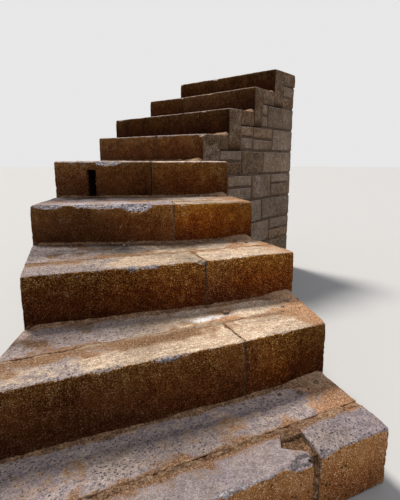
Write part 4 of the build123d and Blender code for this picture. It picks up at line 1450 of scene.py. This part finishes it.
for k in range(N - 1):
    step, top = k + 1, LEVEL[k]
    foot = list(NOSE[k + 1])
    run = length_of(foot)
    e = unit(sub(foot[-1], foot[0]))
    out = (e[1], -e[0])
    parts = []
    for i in range(36):
        u = rs.beta(2.2, 1.0) if rs.rand() < 0.55 else rs.rand()
        u = 0.03 + 0.94 * u
        away = abs(rs.normal(0, 32)) + 4
        away = min(away, 165)
        r = 1.8 + 2.6 * rs.rand() ** 2 + (rs.rand() < 0.07) * rs.uniform(2, 6)
        at = along_path(foot, np.array([u]))[0] + np.array(out) * away
        shape = rs.uniform(0.65, 1.25, 3) * (1, 1, 0.72)
        turn = rs.uniform(0, 6.28)
        v = ball_v * (1 + 0.26 * noise(ball_v * 1.4 + rs.uniform(0, 90, 3), 3))[:, None] * shape * r
        c, s_ = math.cos(turn), math.sin(turn)
        v = v @ np.array([[c, -s_, 0], [s_, c, 0], [0, 0, 1]])
        p = v + [at[0], at[1], top + r * 0.25 + (4 if away < 24 else 0)]
        one = np.ones(len(p))
        g = rs.rand()
        parts.append((p, ball_f.ravel(), np.full(len(ball_f), 3), {"m1": [one * rs.uniform(0, 0.7), one * (0.9 * g if g > 0.5 else 0.1), one * rs.uniform(0.35, 0.62)], "loc": own_places(p, 14)}))
    for where, away, r, pale in PEBBLES.get(step, ()):
        at = along_path(foot, np.array([where]))[0] + np.array(out) * away
        turn = rs.uniform(0, 6.28)
        v = big_v * (1 + 0.30 * noise(big_v * 1.1 + rs.uniform(0, 90, 3), 3) + 0.10 * noise(big_v * 3.0 + rs.uniform(0, 90, 3), 4))[:, None]
        v = v * rs.uniform(0.75, 1.2, 3) * (1, 1, 0.62) * r
        c, s_ = math.cos(turn), math.sin(turn)
        v = v @ np.array([[c, -s_, 0], [s_, c, 0], [0, 0, 1]])
        one = np.ones(len(v))
        parts.append((v + [at[0], at[1], top + r * 0.30], big_f.ravel(), np.full(len(big_f), 3), {"m1": [one * 0.1, one * pale, one * rs.uniform(0.34, 0.50)], "loc": own_places(v, 15 + int(r * 10))}))
    p, loops, counts, masks = joined(parts)
    build(f"crumbs_{step}", p, loops, counts, masks, soil_mat)

# ------------------------------------------------------------------ floor, light, camera
me = bpy.data.meshes.new("floor")
ring = [(60 * math.cos(a), 60 * math.sin(a), -0.0015) for a in np.linspace(0, 2 * math.pi, 64, endpoint=False)]
me.from_pydata(ring, [], [list(range(64))])
floor = bpy.data.objects.new("floor", me)
bpy.context.scene.collection.objects.link(floor)
fm = bpy.data.materials.new("floor_paint")
fm.use_nodes = True
b = fm.node_tree.nodes["Principled BSDF"]
b.inputs["Base Color"].default_value = (0.475, 0.485, 0.505, 1)
b.inputs["Roughness"].default_value = 0.9
me.materials.append(fm)
floor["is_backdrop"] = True

world = bpy.data.worlds.new("studio")
bpy.context.scene.world = world
world.use_nodes = True
wt = world.node_tree
wb = wt.nodes["Background"]
wb.inputs[0].default_value = (0.97, 0.97, 1.0, 1)
wb.inputs[1].default_value = 0.40
seen = wt.nodes.new("ShaderNodeBackground")
seen.inputs[0].default_value = (0.80, 0.80, 0.80, 1)
seen.inputs[1].default_value = 1.0
path = wt.nodes.new("ShaderNodeLightPath")
pick = wt.nodes.new("ShaderNodeMixShader")
wt.links.new(path.outputs["Is Camera Ray"], pick.inputs[0])
wt.links.new(wb.outputs[0], pick.inputs[1])
wt.links.new(seen.outputs[0], pick.inputs[2])
wt.links.new(pick.outputs[0], wt.nodes["World Output"].inputs[0])


def sun(name, towards, strength, angle, colour):
    from mathutils import Vector

    d = bpy.data.lights.new(name, "SUN")
    d.energy = strength
    d.angle = math.radians(angle)
    d.color = colour
    o = bpy.data.objects.new(name, d)
    o.rotation_euler = Vector(towards).to_track_quat("Z", "Y").to_euler()
    o.location = Vector(towards) * 5
    bpy.context.scene.collection.objects.link(o)
    return o


sun("key", (-0.30, 0.36, 0.88), 4.1, 14, (1.0, 0.935, 0.835))
sun("fill", (0.30, -0.80, 0.55), 0.35, 40, (1.0, 0.95, 0.88))

cam_data = bpy.data.cameras.new("camera")
cam_data.sensor_width = 36.0
cam_data.lens = 28.8
cam_data.clip_start = 0.02
cam_data.clip_end = 300
cam = bpy.data.objects.new("camera", cam_data)
cam.location = (-ORIGIN[0] / 1000, -ORIGIN[1] / 1000, 0.952)
pitch = math.atan2(90.0, 400.0)
cam.rotation_euler = (math.pi / 2 - pitch, 0, 0)
bpy.context.scene.collection.objects.link(cam)
bpy.context.scene.camera = cam

bpy.context.scene.view_settings.view_transform = "Standard"
bpy.context.scene.view_settings.look = "None"
bpy.context.scene.view_settings.exposure = 0.0

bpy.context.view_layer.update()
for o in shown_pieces():
    o.data.calc_loop_triangles()
